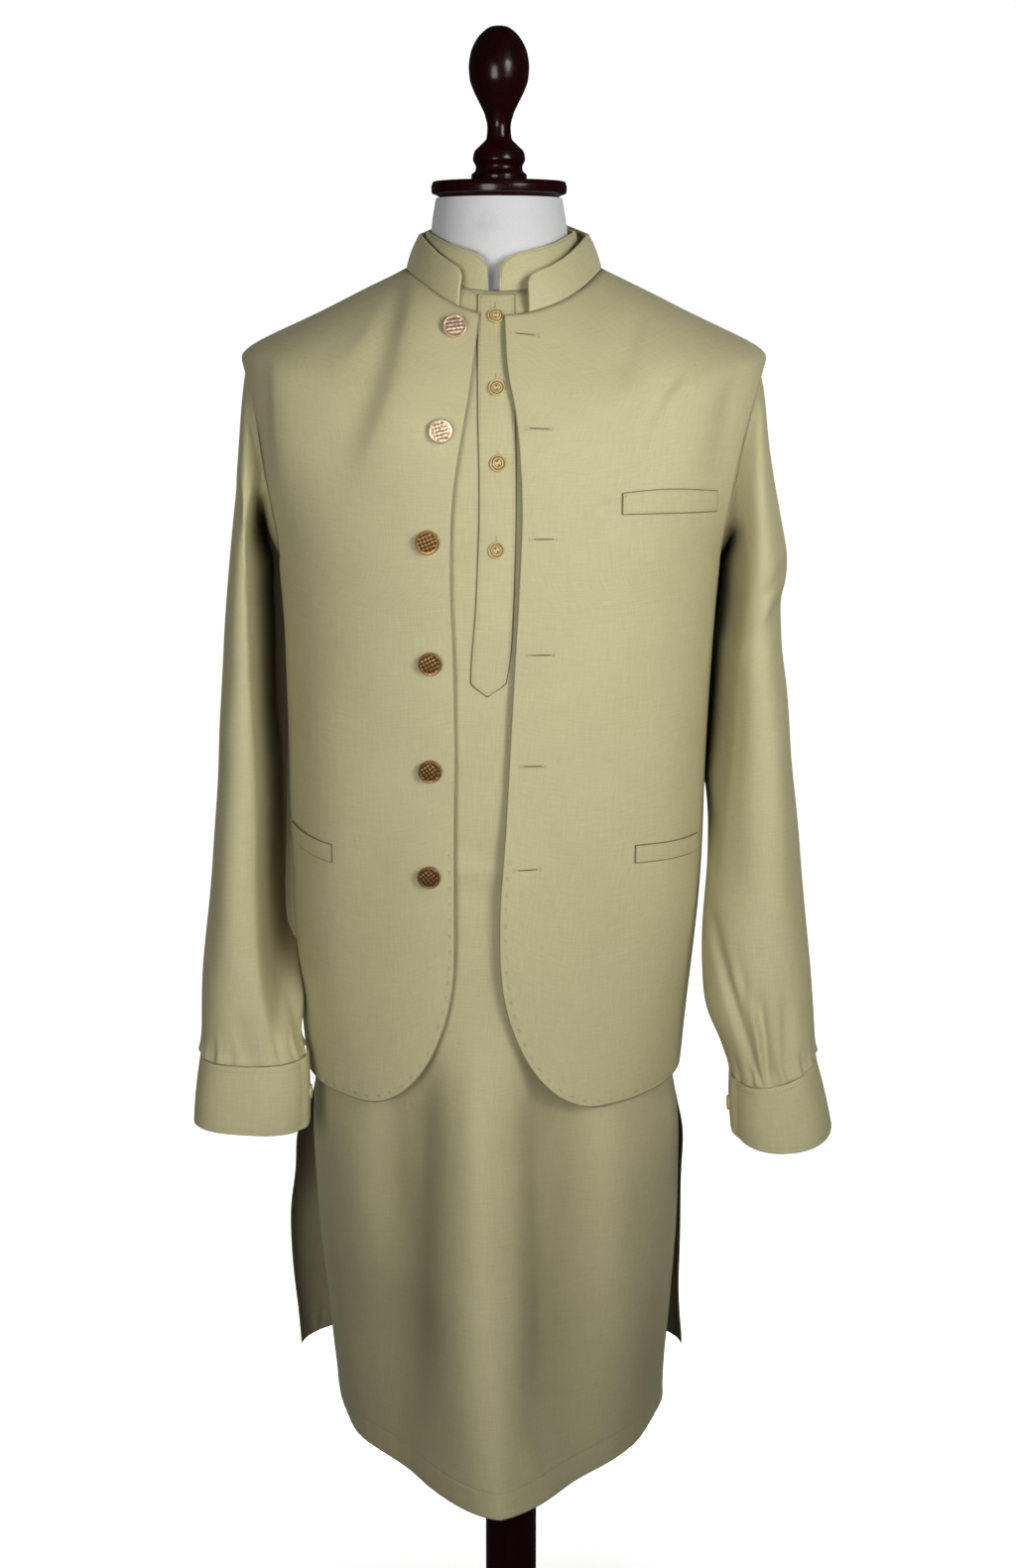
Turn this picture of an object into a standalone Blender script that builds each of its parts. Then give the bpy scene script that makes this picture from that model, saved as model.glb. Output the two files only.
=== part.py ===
"""A long kurta and an open waistcoat in one plain cloth, worn by a limbless dress form on a turned stand.

Metres, +Z up, origin on the floor under the pole, and the garment's front faces -Y.
Each panel of cloth is a wall on a face: a table of rings from the neck down to the hem.
"""
import math

import bmesh
import bpy
import numpy as np
from mathutils import Vector

# Driving sizes
AXIS_X = -0.012          # the form stands this far beside the pole's axis
SEAM_GAP = 0.0003        # between pieces that are sewn or laid together
KURTA_WALL = 0.0014
WAISTCOAT_WALL = 0.0026
CUFF_WALL = 0.0024
HEM_Z = 0.389            # kurta hem
SLIT_Z = 0.700           # top of the kurta's side slits
WAISTCOAT_HEM_Z = 0.7565
QUARTER_STEPS = 32       # samples along a quarter of a ring
ACROSS_STEP = 0.012      # how far along u and v a surface is read for its normal
DOWN_STEP = 0.004
SEARCH_STEPS = 24        # rounds that find the place seen at a given x and z
SEARCH_PACE = 0.8
COLORS = {
    "khaki": ((0.56, 0.52, 0.35), 0.85, 0.0),
    "canvas": ((0.78, 0.78, 0.80), 0.80, 0.0),
    "mahogany": ((0.05, 0.012, 0.010), 0.25, 0.0),
    "bronze": ((0.42, 0.26, 0.13), 0.38, 0.9),
    "horn": ((0.74, 0.62, 0.32), 0.35, 0.0),
}

# Faces. Each row is a ring of one half of the garment, front or back:
# (side_z, half_width, shift_x, side_y, mid_y, mid_z, roundness)
KURTA_FRONT = [
    (1.4750, 0.0700, 0.0030, 0.003, -0.0800, 1.4545, 2.00),
    (1.4568, 0.1110, 0.0040, 0.003, -0.0985, 1.4230, 2.00),
    (1.4362, 0.1550, 0.0050, 0.003, -0.1115, 1.4000, 2.00),
    (1.4172, 0.1950, 0.0055, 0.002, -0.1215, 1.3780, 2.00),
    (1.4025, 0.2190, 0.0055, 0.001, -0.1288, 1.3560, 2.05),
    (1.3850, 0.2235, 0.0055, 0.000, -0.1330, 1.3400, 2.10),
    (1.3600, 0.2225, 0.0050, 0.000, -0.1357, 1.3280, 2.15),
    (1.3000, 0.2125, 0.0030, 0.000, -0.1402, 1.2850, 2.20),
    (1.2200, 0.1885, 0.0020, 0.000, -0.1418, 1.2150, 2.30),
    (1.1000, 0.1820, 0.0000, 0.000, -0.1424, 1.1000, 2.30),
    (0.9700, 0.1785, -0.0010, 0.000, -0.1432, 0.9700, 2.30),
    (0.8800, 0.1748, -0.0030, 0.000, -0.1462, 0.8800, 2.25),
    (0.8000, 0.1705, -0.0045, 0.002, -0.1500, 0.8000, 2.20),
    (0.7500, 0.1665, -0.0045, 0.004, -0.1540, 0.7500, 2.15),
    (0.7000, 0.1735, -0.0030, 0.010, -0.1620, 0.7000, 2.00),
    (0.6150, 0.1740, -0.0015, 0.018, -0.1700, 0.6150, 1.85),
    (0.5540, 0.1722, -0.0006, 0.022, -0.1780, 0.5540, 1.70),
    (0.4800, 0.1664, 0.0000, 0.022, -0.1880, 0.4800, 1.50),
    (0.4200, 0.1610, 0.0010, 0.021, -0.1960, 0.4200, 1.38),
    (HEM_Z, 0.1598, 0.0025, 0.020, -0.2010, HEM_Z, 1.35),
]
KURTA_BACK = [
    (1.4750, 0.0700, 0.0030, 0.003, 0.0640, 1.4900, 2.00),
    (1.4568, 0.1110, 0.0040, 0.003, 0.0840, 1.4600, 2.00),
    (1.4362, 0.1550, 0.0050, 0.003, 0.0980, 1.4310, 2.00),
    (1.4172, 0.1950, 0.0055, 0.002, 0.1080, 1.4030, 2.00),
    (1.4025, 0.2190, 0.0055, 0.001, 0.1140, 1.3810, 2.05),
    (1.3850, 0.2235, 0.0055, 0.000, 0.1180, 1.3680, 2.10),
    (1.3600, 0.2225, 0.0050, 0.000, 0.1230, 1.3450, 2.15),
    (1.3000, 0.2125, 0.0030, 0.000, 0.1290, 1.2950, 2.20),
    (1.2200, 0.1885, 0.0020, 0.000, 0.1270, 1.2200, 2.30),
    (1.1000, 0.1820, 0.0000, 0.000, 0.1170, 1.1000, 2.30),
    (0.9700, 0.1785, -0.0010, 0.000, 0.1225, 0.9700, 2.30),
    (0.8800, 0.1748, -0.0030, 0.000, 0.1340, 0.8800, 2.25),
    (0.8000, 0.1705, -0.0045, 0.002, 0.1420, 0.8000, 2.20),
    (0.7500, 0.1665, -0.0045, 0.004, 0.1480, 0.7500, 2.15),
    (0.7000, 0.1735, -0.0030, 0.010, 0.1600, 0.7000, 2.10),
    (0.6150, 0.1900, -0.0100, 0.060, 0.1760, 0.6150, 2.00),
    (0.5540, 0.1965, -0.0135, 0.090, 0.1860, 0.5540, 1.95),
    (0.4800, 0.1970, -0.0135, 0.106, 0.1970, 0.4800, 1.90),
    (0.4200, 0.1972, -0.0100, 0.120, 0.2070, 0.4200, 1.90),
    (HEM_Z, 0.1975, -0.0080, 0.125, 0.2120, HEM_Z, 1.90),
]
WAISTCOAT_FRONT = [
    (1.4745, 0.0850, 0.0055, 0.003, -0.0985, 1.4360, 2.00),
    (1.4510, 0.1340, 0.0060, 0.003, -0.1130, 1.4120, 2.00),
    (1.4250, 0.1870, 0.0055, 0.003, -0.1262, 1.3860, 2.00),
    (1.4100, 0.2240, 0.0055, 0.002, -0.1345, 1.3640, 2.00),
    (1.3990, 0.2310, 0.0055, 0.000, -0.1385, 1.3500, 2.10),
    (1.3600, 0.2290, 0.0050, 0.000, -0.1430, 1.3300, 2.15),
    (1.3000, 0.2190, 0.0030, 0.000, -0.1482, 1.2850, 2.20),
    (1.2200, 0.1960, 0.0020, 0.000, -0.1500, 1.2150, 2.30),
    (1.1000, 0.1900, 0.0000, 0.000, -0.1505, 1.1000, 2.30),
    (0.9700, 0.1870, -0.0010, 0.000, -0.1518, 0.9700, 2.30),
    (0.8800, 0.1830, -0.0030, 0.000, -0.1550, 0.8800, 2.25),
    (0.8000, 0.1790, -0.0045, 0.000, -0.1590, 0.8000, 2.20),
    (WAISTCOAT_HEM_Z, 0.1755, -0.0045, 0.000, -0.1620, WAISTCOAT_HEM_Z, 2.20),
]
WAISTCOAT_BACK = [
    (1.4745, 0.0850, 0.0055, 0.003, 0.0740, 1.4900, 2.00),
    (1.4510, 0.1340, 0.0060, 0.003, 0.0960, 1.4620, 2.00),
    (1.4250, 0.1870, 0.0055, 0.003, 0.1130, 1.4290, 2.00),
    (1.4100, 0.2240, 0.0055, 0.002, 0.1220, 1.4020, 2.00),
    (1.3990, 0.2310, 0.0055, 0.000, 0.1260, 1.3850, 2.10),
    (1.3600, 0.2290, 0.0050, 0.000, 0.1310, 1.3520, 2.15),
    (1.3000, 0.2190, 0.0030, 0.000, 0.1370, 1.2980, 2.20),
    (1.2200, 0.1960, 0.0020, 0.000, 0.1350, 1.2200, 2.30),
    (1.1000, 0.1900, 0.0000, 0.000, 0.1250, 1.1000, 2.30),
    (0.9700, 0.1870, -0.0010, 0.000, 0.1310, 0.9700, 2.30),
    (0.8800, 0.1830, -0.0030, 0.000, 0.1430, 0.8800, 2.25),
    (0.8000, 0.1790, -0.0045, 0.000, 0.1510, 0.8000, 2.20),
    (WAISTCOAT_HEM_Z, 0.1755, -0.0045, 0.000, 0.1560, WAISTCOAT_HEM_Z, 2.20),
]

# Soft folds of the skirt: (face, high_u, low_u, high_z, low_z, half_width_u, depth), depth outward
KURTA_FOLDS = [
    ("front", -0.36, -0.46, 0.74, 0.30, 0.18, -0.0045),
    ("front", -0.70, -0.74, 0.70, 0.30, 0.18, 0.0050),
    ("front", 0.30, 0.34, 0.72, 0.30, 0.18, -0.0060),
    ("front", 0.62, 0.66, 0.70, 0.30, 0.20, 0.0040),
    ("back", -0.50, -0.45, 0.72, 0.30, 0.22, -0.0080),
    ("back", 0.02, 0.05, 0.70, 0.30, 0.20, 0.0080),
    ("back", 0.52, 0.50, 0.70, 0.30, 0.22, -0.0080),
]

# Armholes on the side of a face: (high_z, low_z, front_reach_u, back_reach_u)
KURTA_ARMHOLE = (1.4010, 1.2320, 0.170, 0.170)
WAISTCOAT_ARMHOLE = (1.4030, 1.2180, 0.225, 0.215)
ARMHOLE_STEPS = 9        # panel rows beside an armhole, and half the columns of a sleeve
SHOULDER_ROWS = 3        # panel rows along the shoulder seam
# Heights of the panels' rows below the armholes
KURTA_SEAM = (1.130, 1.030, 0.930, 0.840, 0.770, 0.735, SLIT_Z,
              0.655, 0.600, 0.540, 0.480, 0.430, HEM_Z)
WAISTCOAT_SEAM = (1.150, 1.080, 1.010, 0.940, 0.880, 0.830, 0.790, WAISTCOAT_HEM_Z)

# Sleeves from the armhole down, one row a ring:
# (outer_x, outer_z, inner_x, inner_z, mid_y, half_depth, roundness, front_drop)
SLEEVES = {
    "left": [
        (0.2290, 1.3900, 0.1960, 1.2310, 0.000, 0.0480, 2.0, 0.000),
        (0.2335, 1.3700, 0.2020, 1.2250, -0.001, 0.0560, 2.0, 0.000),
        (0.2378, 1.3300, 0.2050, 1.2130, -0.002, 0.0660, 2.0, 0.000),
        (0.2432, 1.2950, 0.2050, 1.1980, -0.003, 0.0740, 2.0, 0.000),
        (0.2495, 1.2600, 0.2035, 1.1830, -0.004, 0.0780, 2.1, 0.000),
        (0.2565, 1.2180, 0.2015, 1.1650, -0.006, 0.0790, 2.1, 0.000),
        (0.2520, 1.1880, 0.1995, 1.1480, -0.008, 0.0790, 2.1, 0.000),
        (0.2525, 1.1530, 0.1980, 1.1250, -0.011, 0.0780, 2.1, 0.000),
        (0.2574, 1.1080, 0.1955, 1.0900, -0.016, 0.0740, 2.1, 0.000),
        (0.2645, 1.0430, 0.1935, 1.0350, -0.026, 0.0690, 2.1, 0.000),
        (0.2720, 0.9680, 0.1905, 0.9650, -0.040, 0.0630, 2.1, 0.000),
        (0.2790, 0.8920, 0.1845, 0.8900, -0.058, 0.0570, 2.1, 0.002),
        (0.2830, 0.8450, 0.1860, 0.8350, -0.070, 0.0530, 2.1, 0.004),
        (0.2845, 0.8100, 0.1985, 0.8000, -0.079, 0.0480, 2.1, 0.006),
        (0.2840, 0.7880, 0.2130, 0.7680, -0.085, 0.0420, 2.2, 0.008),
    ],
    "right": [
        (-0.2205, 1.3900, -0.1920, 1.2310, 0.000, 0.0480, 2.0, 0.000),
        (-0.2230, 1.3700, -0.1985, 1.2250, -0.001, 0.0560, 2.0, 0.000),
        (-0.2270, 1.3320, -0.2010, 1.2130, -0.002, 0.0660, 2.0, 0.000),
        (-0.2300, 1.2980, -0.2010, 1.1980, -0.003, 0.0740, 2.0, 0.000),
        (-0.2335, 1.2630, -0.2000, 1.1830, -0.004, 0.0780, 2.1, 0.000),
        (-0.2360, 1.2280, -0.1990, 1.1650, -0.006, 0.0790, 2.1, 0.000),
        (-0.2385, 1.1930, -0.1975, 1.1480, -0.008, 0.0790, 2.1, 0.000),
        (-0.2410, 1.1580, -0.1965, 1.1250, -0.011, 0.0780, 2.1, 0.000),
        (-0.2445, 1.1080, -0.1950, 1.0900, -0.016, 0.0740, 2.1, 0.000),
        (-0.2490, 1.0430, -0.1935, 1.0350, -0.026, 0.0690, 2.1, 0.000),
        (-0.2560, 0.9680, -0.1930, 0.9650, -0.040, 0.0630, 2.1, 0.000),
        (-0.2630, 0.8920, -0.1910, 0.8900, -0.058, 0.0560, 2.2, 0.000),
        (-0.2660, 0.8450, -0.1860, 0.8450, -0.070, 0.0500, 2.3, 0.000),
        (-0.2670, 0.8100, -0.1800, 0.8100, -0.079, 0.0440, 2.4, 0.000),
        (-0.2665, 0.7880, -0.1750, 0.7860, -0.085, 0.0400, 2.5, 0.000),
    ],
}
SLEEVE_RINGS = 16
# The lengths that a sleeve is built in, from ring to ring
SLEEVE_LENGTHS = (("", 0, 5), ("_elbow", 5, 10), ("_forearm", 10, 16))
# The cuffs' open ends, with the same columns. Their other ends follow the sleeves' last rings.
CUFF_ENDS = {
    "left": (0.3010, 0.7240, 0.2135, 0.7180, -0.095, 0.0430, 2.2, 0.011),
    "right": (-0.2740, 0.7285, -0.1735, 0.7225, -0.095, 0.0390, 2.6, 0.000),
}
CUFF_PROUD = 0.0010      # the cuffs stand out this far from the sleeves
CUFF_BUTTON_SHARE = 0.55 # how far down a cuff its button sits

# Waistcoat fronts: the edge from the neck down as (z, x), then the round of the lower corner
FRONT_EDGES = {
    "right": ((1.4360, -0.0145), (1.3790, -0.0215), (1.3290, -0.0301), (1.2780, -0.0371),
              (1.2270, -0.0383), (1.1480, -0.0361), (1.0780, -0.0352), (0.9850, -0.0364)),
    "left": ((1.4360, 0.0055), (1.3930, 0.0079), (1.3600, 0.0145), (1.3200, 0.0186),
             (1.2770, 0.0203), (1.2270, 0.0184), (1.1210, 0.0127), (0.9980, 0.0060),
             (0.9300, 0.0015)),
}
CORNER_TOP_Z = 0.900
CORNER_WIDTH = {"right": 0.085, "left": 0.090}
CORNER_TURN = math.radians(50)   # where the grid passes from the front edge to the hem

# What is sewn on. Places are (x, z) on the front, from the garment's axis.
WAISTCOAT_BUTTONS = ((-0.0349, 1.4250), (-0.0459, 1.3430), (-0.0571, 1.2530),
                     (-0.0555, 1.1520), (-0.0563, 1.0600), (-0.0578, 0.9680))
KURTA_BUTTONS = ((-0.0011, 1.4345), (-0.0003, 1.3770), (0.0008, 1.3170), (-0.0005, 1.2460))
# (inner_x, outer_x, inner_z, outer_z, height)
WELTS = {
    "waistcoat_chest_welt": (0.1030, 0.1860, 1.2925, 1.2905, 0.0180),
    "waistcoat_pocket_welt_right": (-0.1430, -0.1830, 0.9875, 0.9930, 0.0170),
    "waistcoat_pocket_welt_left": (0.1180, 0.1760, 0.9900, 0.9860, 0.0165),
}
WELT_WALL = 0.0015
# Placket outline down the kurta's front: (z, left_x, right_x)
PLACKET = [
    (1.4520, -0.0165, 0.0150),
    (1.3700, -0.0162, 0.0152),
    (1.2900, -0.0150, 0.0160),
    (1.2000, -0.0180, 0.0140),
    (1.1345, -0.0225, 0.0078),
    (1.1225, -0.0090, -0.0075),
]
PLACKET_WALL = 0.0012

# Stand collars: x of the two front ends, heights, the reach of the rounded ends, and inward leans
KURTA_COLLAR = {
    "ends": (-0.0080, 0.0015), "height": 0.0310, "end_height": 0.0150, "round": 0.0200,
    "lean_side": math.radians(10), "lean_middle": math.radians(8),
}
WAISTCOAT_COLLAR = {
    "ends": (-0.0325, 0.0265), "height": 0.0315, "end_height": 0.0220, "round": 0.0120,
    "lean_side": math.radians(22), "lean_middle": math.radians(9),
}
COLLAR_COLUMNS = 28

NECK_TOP_Z = 1.5330
FORM_BOTTOM_Z = 0.745
POLE_RADIUS = 0.025
BASE_RADIUS = 0.190
BASE_HEIGHT = 0.070
CAP_HEIGHT = 0.0135
POLE_LOW = BASE_HEIGHT + SEAM_GAP
POLE_HIGH = FORM_BOTTOM_Z - SEAM_GAP
# Turned pieces: (radius, z) from the bottom up, starting and ending on the axis
CAP_PROFILE = (
    (0.0, 0.0), (0.0500, 0.0), (0.0535, 0.0020), (0.0580, 0.0040), (0.0585, 0.0090),
    (0.0565, CAP_HEIGHT), (0.0, CAP_HEIGHT),
)
FINIAL_PROFILE = (
    (0.0, 0.0), (0.0235, 0.0), (0.0240, 0.0050), (0.0205, 0.0090), (0.0200, 0.0120),
    (0.0225, 0.0180), (0.0215, 0.0240), (0.0160, 0.0300), (0.0108, 0.0360), (0.0101, 0.0450),
    (0.0123, 0.0550), (0.0170, 0.0650), (0.0220, 0.0750), (0.0250, 0.0840), (0.0258, 0.0940),
    (0.0245, 0.1040), (0.0210, 0.1130), (0.0140, 0.1220), (0.0060, 0.1268), (0.0, 0.1275),
)
BASE_PROFILE = (
    (0.0, 0.0), (BASE_RADIUS - 0.004, 0.0), (BASE_RADIUS, 0.004), (BASE_RADIUS, 0.018),
    (BASE_RADIUS - 0.010, 0.026), (0.120, 0.034), (0.060, 0.046), (0.046, 0.058),
    (0.044, BASE_HEIGHT), (0.0, BASE_HEIGHT),
)
POLE_PROFILE = (
    (0.0, POLE_LOW), (0.034, POLE_LOW), (0.034, POLE_LOW + 0.012), (0.026, POLE_LOW + 0.024),
    (POLE_RADIUS, POLE_LOW + 0.030), (POLE_RADIUS, POLE_HIGH - 0.050), (0.036, POLE_HIGH - 0.030),
    (0.062, POLE_HIGH - 0.012), (0.062, POLE_HIGH), (0.0, POLE_HIGH),
)
SHANK_BUTTON = (
    (0.0, 0.0), (0.0030, 0.0), (0.0030, 0.0022), (0.0092, 0.0024), (0.0100, 0.0034),
    (0.0098, 0.0050), (0.0, 0.0056),
)
SHIRT_BUTTON = (
    (0.0, 0.0), (0.0058, 0.0), (0.0069, 0.0010), (0.0069, 0.0020), (0.0058, 0.0026), (0.0, 0.0022),
)
BUTTON_SIDES = 12
# The form: (z, half_width, shift_x, front_y, back_y, roundness)
FORM = [
    (NECK_TOP_Z, 0.0545, 0.0013, -0.0545, 0.0545, 2.0),
    (1.5100, 0.0585, 0.0013, -0.0590, 0.0580, 2.0),
    (1.4900, 0.0600, 0.0015, -0.0610, 0.0585, 2.0),
    (1.4730, 0.0640, 0.0025, -0.0620, 0.0585, 2.0),
    (1.4645, 0.0860, 0.0040, -0.0640, 0.0600, 1.7),
    (1.4470, 0.1260, 0.0047, -0.0710, 0.0700, 1.7),
    (1.4270, 0.1680, 0.0053, -0.0820, 0.0820, 1.8),
    (1.4085, 0.1940, 0.0055, -0.0940, 0.0920, 1.95),
    (1.3800, 0.2060, 0.0050, -0.1070, 0.1020, 2.05),
    (1.3400, 0.2040, 0.0040, -0.1190, 0.1120, 2.1),
    (1.3000, 0.1940, 0.0030, -0.1260, 0.1180, 2.1),
    (1.2200, 0.1780, 0.0020, -0.1310, 0.1190, 2.2),
    (1.1000, 0.1680, 0.0000, -0.1250, 0.1090, 2.2),
    (0.9700, 0.1660, -0.0010, -0.1230, 0.1120, 2.2),
    (0.8800, 0.1640, -0.0020, -0.1260, 0.1230, 2.2),
    (0.8000, 0.1600, -0.0030, -0.1270, 0.1280, 2.2),
    (FORM_BOTTOM_Z, 0.1550, -0.0030, -0.1230, 0.1280, 2.2),
]


def smooth(stops, values, at):
    """Reads a curve through the stops at the places asked, with no overshoot between them."""
    stops = np.asarray(stops, float)
    values = np.asarray(values, float)
    order = np.argsort(stops)
    stops = stops[order]
    values = values[order]
    step = np.diff(stops)
    slope = np.diff(values) / step
    tangent = np.concatenate([slope[:1], np.zeros(len(slope) - 1), slope[-1:]])
    if len(slope) > 1:
        before, after = slope[:-1], slope[1:]
        even = before * after > 1e-12
        near = 2 * step[1:] + step[:-1]
        far = step[1:] + 2 * step[:-1]
        safe_before = np.where(even, before, 1.0)
        safe_after = np.where(even, after, 1.0)
        mean = (near + far) / (near / safe_before + far / safe_after)
        tangent[1:-1] = np.where(even, mean, 0.0)
    at = np.clip(at, stops[0], stops[-1])
    k = np.clip(np.searchsorted(stops, at) - 1, 0, len(step) - 1)
    t = (at - stops[k]) / step[k]
    return (
        values[k] * (2 * t**3 - 3 * t**2 + 1)
        + values[k + 1] * (3 * t**2 - 2 * t**3)
        + step[k] * tangent[k] * (t**3 - 2 * t**2 + t)
        + step[k] * tangent[k + 1] * (t**3 - t**2)
    )


def ease(t):
    t = np.clip(t, 0.0, 1.0)
    return t * t * (3 - 2 * t)


def unit(vectors):
    return vectors / np.maximum(np.linalg.norm(vectors, axis=-1, keepdims=True), 1e-12)


class Face:
    """The outer surface of one half of a garment.

    u runs from -1 to 1 across, and v is the height at the side.
    """

    def __init__(self, rows, folds=(), partner=None):
        self.rows = np.array(rows)
        self.folds = folds
        self.partner = partner
        self.toward = np.sign(self.rows[-1, 4])

    def ring(self, v):
        """The columns at a height. Down to the slits, the side's columns are those of the other half."""
        columns = [smooth(self.rows[:, 0], self.rows[:, k], v) for k in range(1, 7)]
        if self.partner is not None:
            loose = self.rows[self.rows[:, 0] <= SLIT_Z]
            shared = self.partner.ring(v)
            for k in range(3):
                free = smooth(loose[:, 0], loose[:, k + 1], v)
                columns[k] = np.where(v >= SLIT_Z, shared[k], free)
        return columns

    def lengths(self, v):
        """The share of a quarter ring's length that each of its sampled angles has reached."""
        half, _, side_y, mid_y, _, power = self.ring(v)
        angle = np.linspace(0.0, math.pi / 2, QUARTER_STEPS + 1)
        x = half[:, None] * np.sin(angle) ** (2 / power[:, None])
        y = (mid_y - side_y)[:, None] * np.cos(angle) ** (2 / power[:, None])
        steps = np.hypot(np.diff(x, axis=1), np.diff(y, axis=1))
        total = np.concatenate([np.zeros((len(v), 1)), np.cumsum(steps, axis=1)], axis=1)
        return angle, total / total[:, -1:]

    def plain(self, u, v):
        u = np.asarray(u, float)
        v = np.asarray(v, float)
        half, shift, side_y, mid_y, mid_z, power = self.ring(v)
        angles, reached = self.lengths(v)
        angle = np.array([np.interp(abs(a), row, angles) for a, row in zip(u, reached)])
        x = shift + np.sign(u) * half * np.abs(np.sin(angle)) ** (2 / power)
        y = side_y + (mid_y - side_y) * np.abs(np.cos(angle)) ** (2 / power)
        z = v + (mid_z - v) * np.cos(u * math.pi / 2) ** 2
        return np.stack([x, y, z], axis=-1)

    def across(self, surface, u, v):
        """The normal of a surface, from points a little way along it."""
        low, high = self.rows[-1, 0], self.rows[0, 0]
        side = surface(np.minimum(u + ACROSS_STEP, 1), v) - surface(np.maximum(u - ACROSS_STEP, -1), v)
        down = surface(u, np.maximum(v - DOWN_STEP, low)) - surface(u, np.minimum(v + DOWN_STEP, high))
        return unit(np.cross(side, down)) * self.toward

    def push(self, u, v):
        out = np.zeros(len(u))
        for high_u, low_u, high_z, low_z, reach, depth in self.folds:
            along = (high_z - v) / (high_z - low_z)
            middle = high_u + (low_u - high_u) * np.clip(along, 0, 1)
            bell = np.exp(-(((u - middle) / reach) ** 2) * 2)
            out += depth * bell * ease(along * 1.6)
        return out

    def point(self, u, v):
        u = np.asarray(u, float)
        v = np.asarray(v, float)
        base = self.plain(u, v)
        if not len(self.folds):
            return base
        return base + self.across(self.plain, u, v) * self.push(u, v)[:, None]

    def normal(self, u, v):
        return self.across(self.point, np.asarray(u, float), np.asarray(v, float))

    def locate(self, x, z):
        """The u and v of the place that is seen at x and z from the front."""
        x = np.asarray(x, float)
        z = np.asarray(z, float)
        v = z.copy()
        u = np.zeros_like(x)
        for _ in range(SEARCH_STEPS):
            half, shift, _, _, mid_z, power = self.ring(v)
            share = np.clip(np.abs(x - shift) / half, 0, 1)
            turn = np.arcsin(share ** (power / 2))
            angles, reached = self.lengths(v)
            u = np.array([np.interp(t, angles, row) for t, row in zip(turn, reached)])
            v = v + (z - (v + (mid_z - v) * np.cos(u * math.pi / 2) ** 2)) * SEARCH_PACE
            v = np.clip(v, self.rows[-1, 0], self.rows[0, 0])
        return u * np.sign(x - shift), v


def folds_of(side):
    return [row[1:] for row in KURTA_FOLDS if row[0] == side]


KURTA = {"front": Face(KURTA_FRONT, folds_of("front"))}
KURTA["back"] = Face(KURTA_BACK, folds_of("back"), KURTA["front"])
WAISTCOAT = {"front": Face(WAISTCOAT_FRONT), "back": Face(WAISTCOAT_BACK)}


def material(name):
    found = bpy.data.materials.get(name)
    if found:
        return found
    color, roughness, metallic = COLORS[name]
    made = bpy.data.materials.new(name)
    made.use_nodes = True
    shader = made.node_tree.nodes["Principled BSDF"]
    shader.inputs["Base Color"].default_value = (*color, 1.0)
    shader.inputs["Roughness"].default_value = roughness
    shader.inputs["Metallic"].default_value = metallic
    made.diffuse_color = (*color, 1.0)
    return made


def make_object(name, points, faces, slot, parent=None):
    mesh = bpy.data.meshes.new(name)
    work = bmesh.new()
    verts = [work.verts.new(p) for p in points]
    for face in faces:
        work.faces.new([verts[k] for k in face])
    bmesh.ops.recalc_face_normals(work, faces=work.faces)
    work.to_mesh(mesh)
    work.free()
    mesh.shade_smooth()
    mesh.set_sharp_from_angle(angle=math.radians(40))
    mesh.materials.append(material(slot))
    made = bpy.data.objects.new(name, mesh)
    bpy.context.scene.collection.objects.link(made)
    made.parent = parent
    return made


def wall(name, outer, inner, slot, parent, closed=False):
    """A closed solid between two grids of points. closed joins the last column to the first."""
    rows, columns = outer.shape[:2]
    points = np.concatenate([outer.reshape(-1, 3), inner.reshape(-1, 3)])
    back = rows * columns
    spans = columns if closed else columns - 1

    def at(i, j):
        return i * columns + j % columns

    faces = []
    for i in range(rows - 1):
        for j in range(spans):
            quad = (at(i, j), at(i, j + 1), at(i + 1, j + 1), at(i + 1, j))
            faces.append(quad)
            faces.append(tuple(back + k for k in reversed(quad)))
    for i in (0, rows - 1):
        for j in range(spans):
            faces.append((at(i, j), at(i, j + 1), back + at(i, j + 1), back + at(i, j)))
    if not closed:
        for j in (0, columns - 1):
            for i in range(rows - 1):
                faces.append((at(i, j), at(i + 1, j), back + at(i + 1, j), back + at(i, j)))
    return make_object(name, points, faces, slot, parent)


def face_wall(name, face, u, v, thickness, parent, lift=0.0):
    """A wall on a face, over a grid of its u and v, lifted off it where it lies on other cloth.

    At a side or shoulder seam the wall's edge faces straight back or forward, to meet its neighbour.
    """
    shape = u.shape
    points = face.point(u.ravel(), v.ravel())
    normals = face.normal(u.ravel(), v.ravel())
    normals[np.abs(u.ravel()) > 0.999, 1] = 0.0
    normals = unit(normals)
    outer = (points + normals * lift).reshape(*shape, 3)
    inner = (points + normals * (lift - thickness)).reshape(*shape, 3)
    return wall(name, outer, inner, "khaki", parent)


def armhole(hole, turns, side):
    """u and v round an armhole. turns is 0 at the shoulder and pi at the underarm."""
    high, low, front, back = hole
    reach = front if side == "front" else back
    v = (high + low) / 2 + (high - low) / 2 * np.cos(turns)
    return 1 - reach * np.sin(turns) ** 0.8, v


def side_edge(face, hole, seam, side):
    """u and v down the side of a panel: shoulder seam, armhole, then the heights of its rows below."""
    top = face.rows[0, 0]
    turns = np.linspace(0, math.pi, ARMHOLE_STEPS + 1)
    hole_u, hole_v = armhole(hole, turns, side)
    shoulder = np.linspace(top, hole[0], SHOULDER_ROWS + 1)[:-1]
    u = np.concatenate([np.ones(SHOULDER_ROWS), hole_u, np.ones(len(seam))])
    v = np.concatenate([shoulder, hole_v, seam])
    return u, v


def spread(t):
    """Columns from the middle to the side, closer together where a ring turns the corner."""
    return t * (1.3 - 0.3 * np.abs(t))


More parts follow.
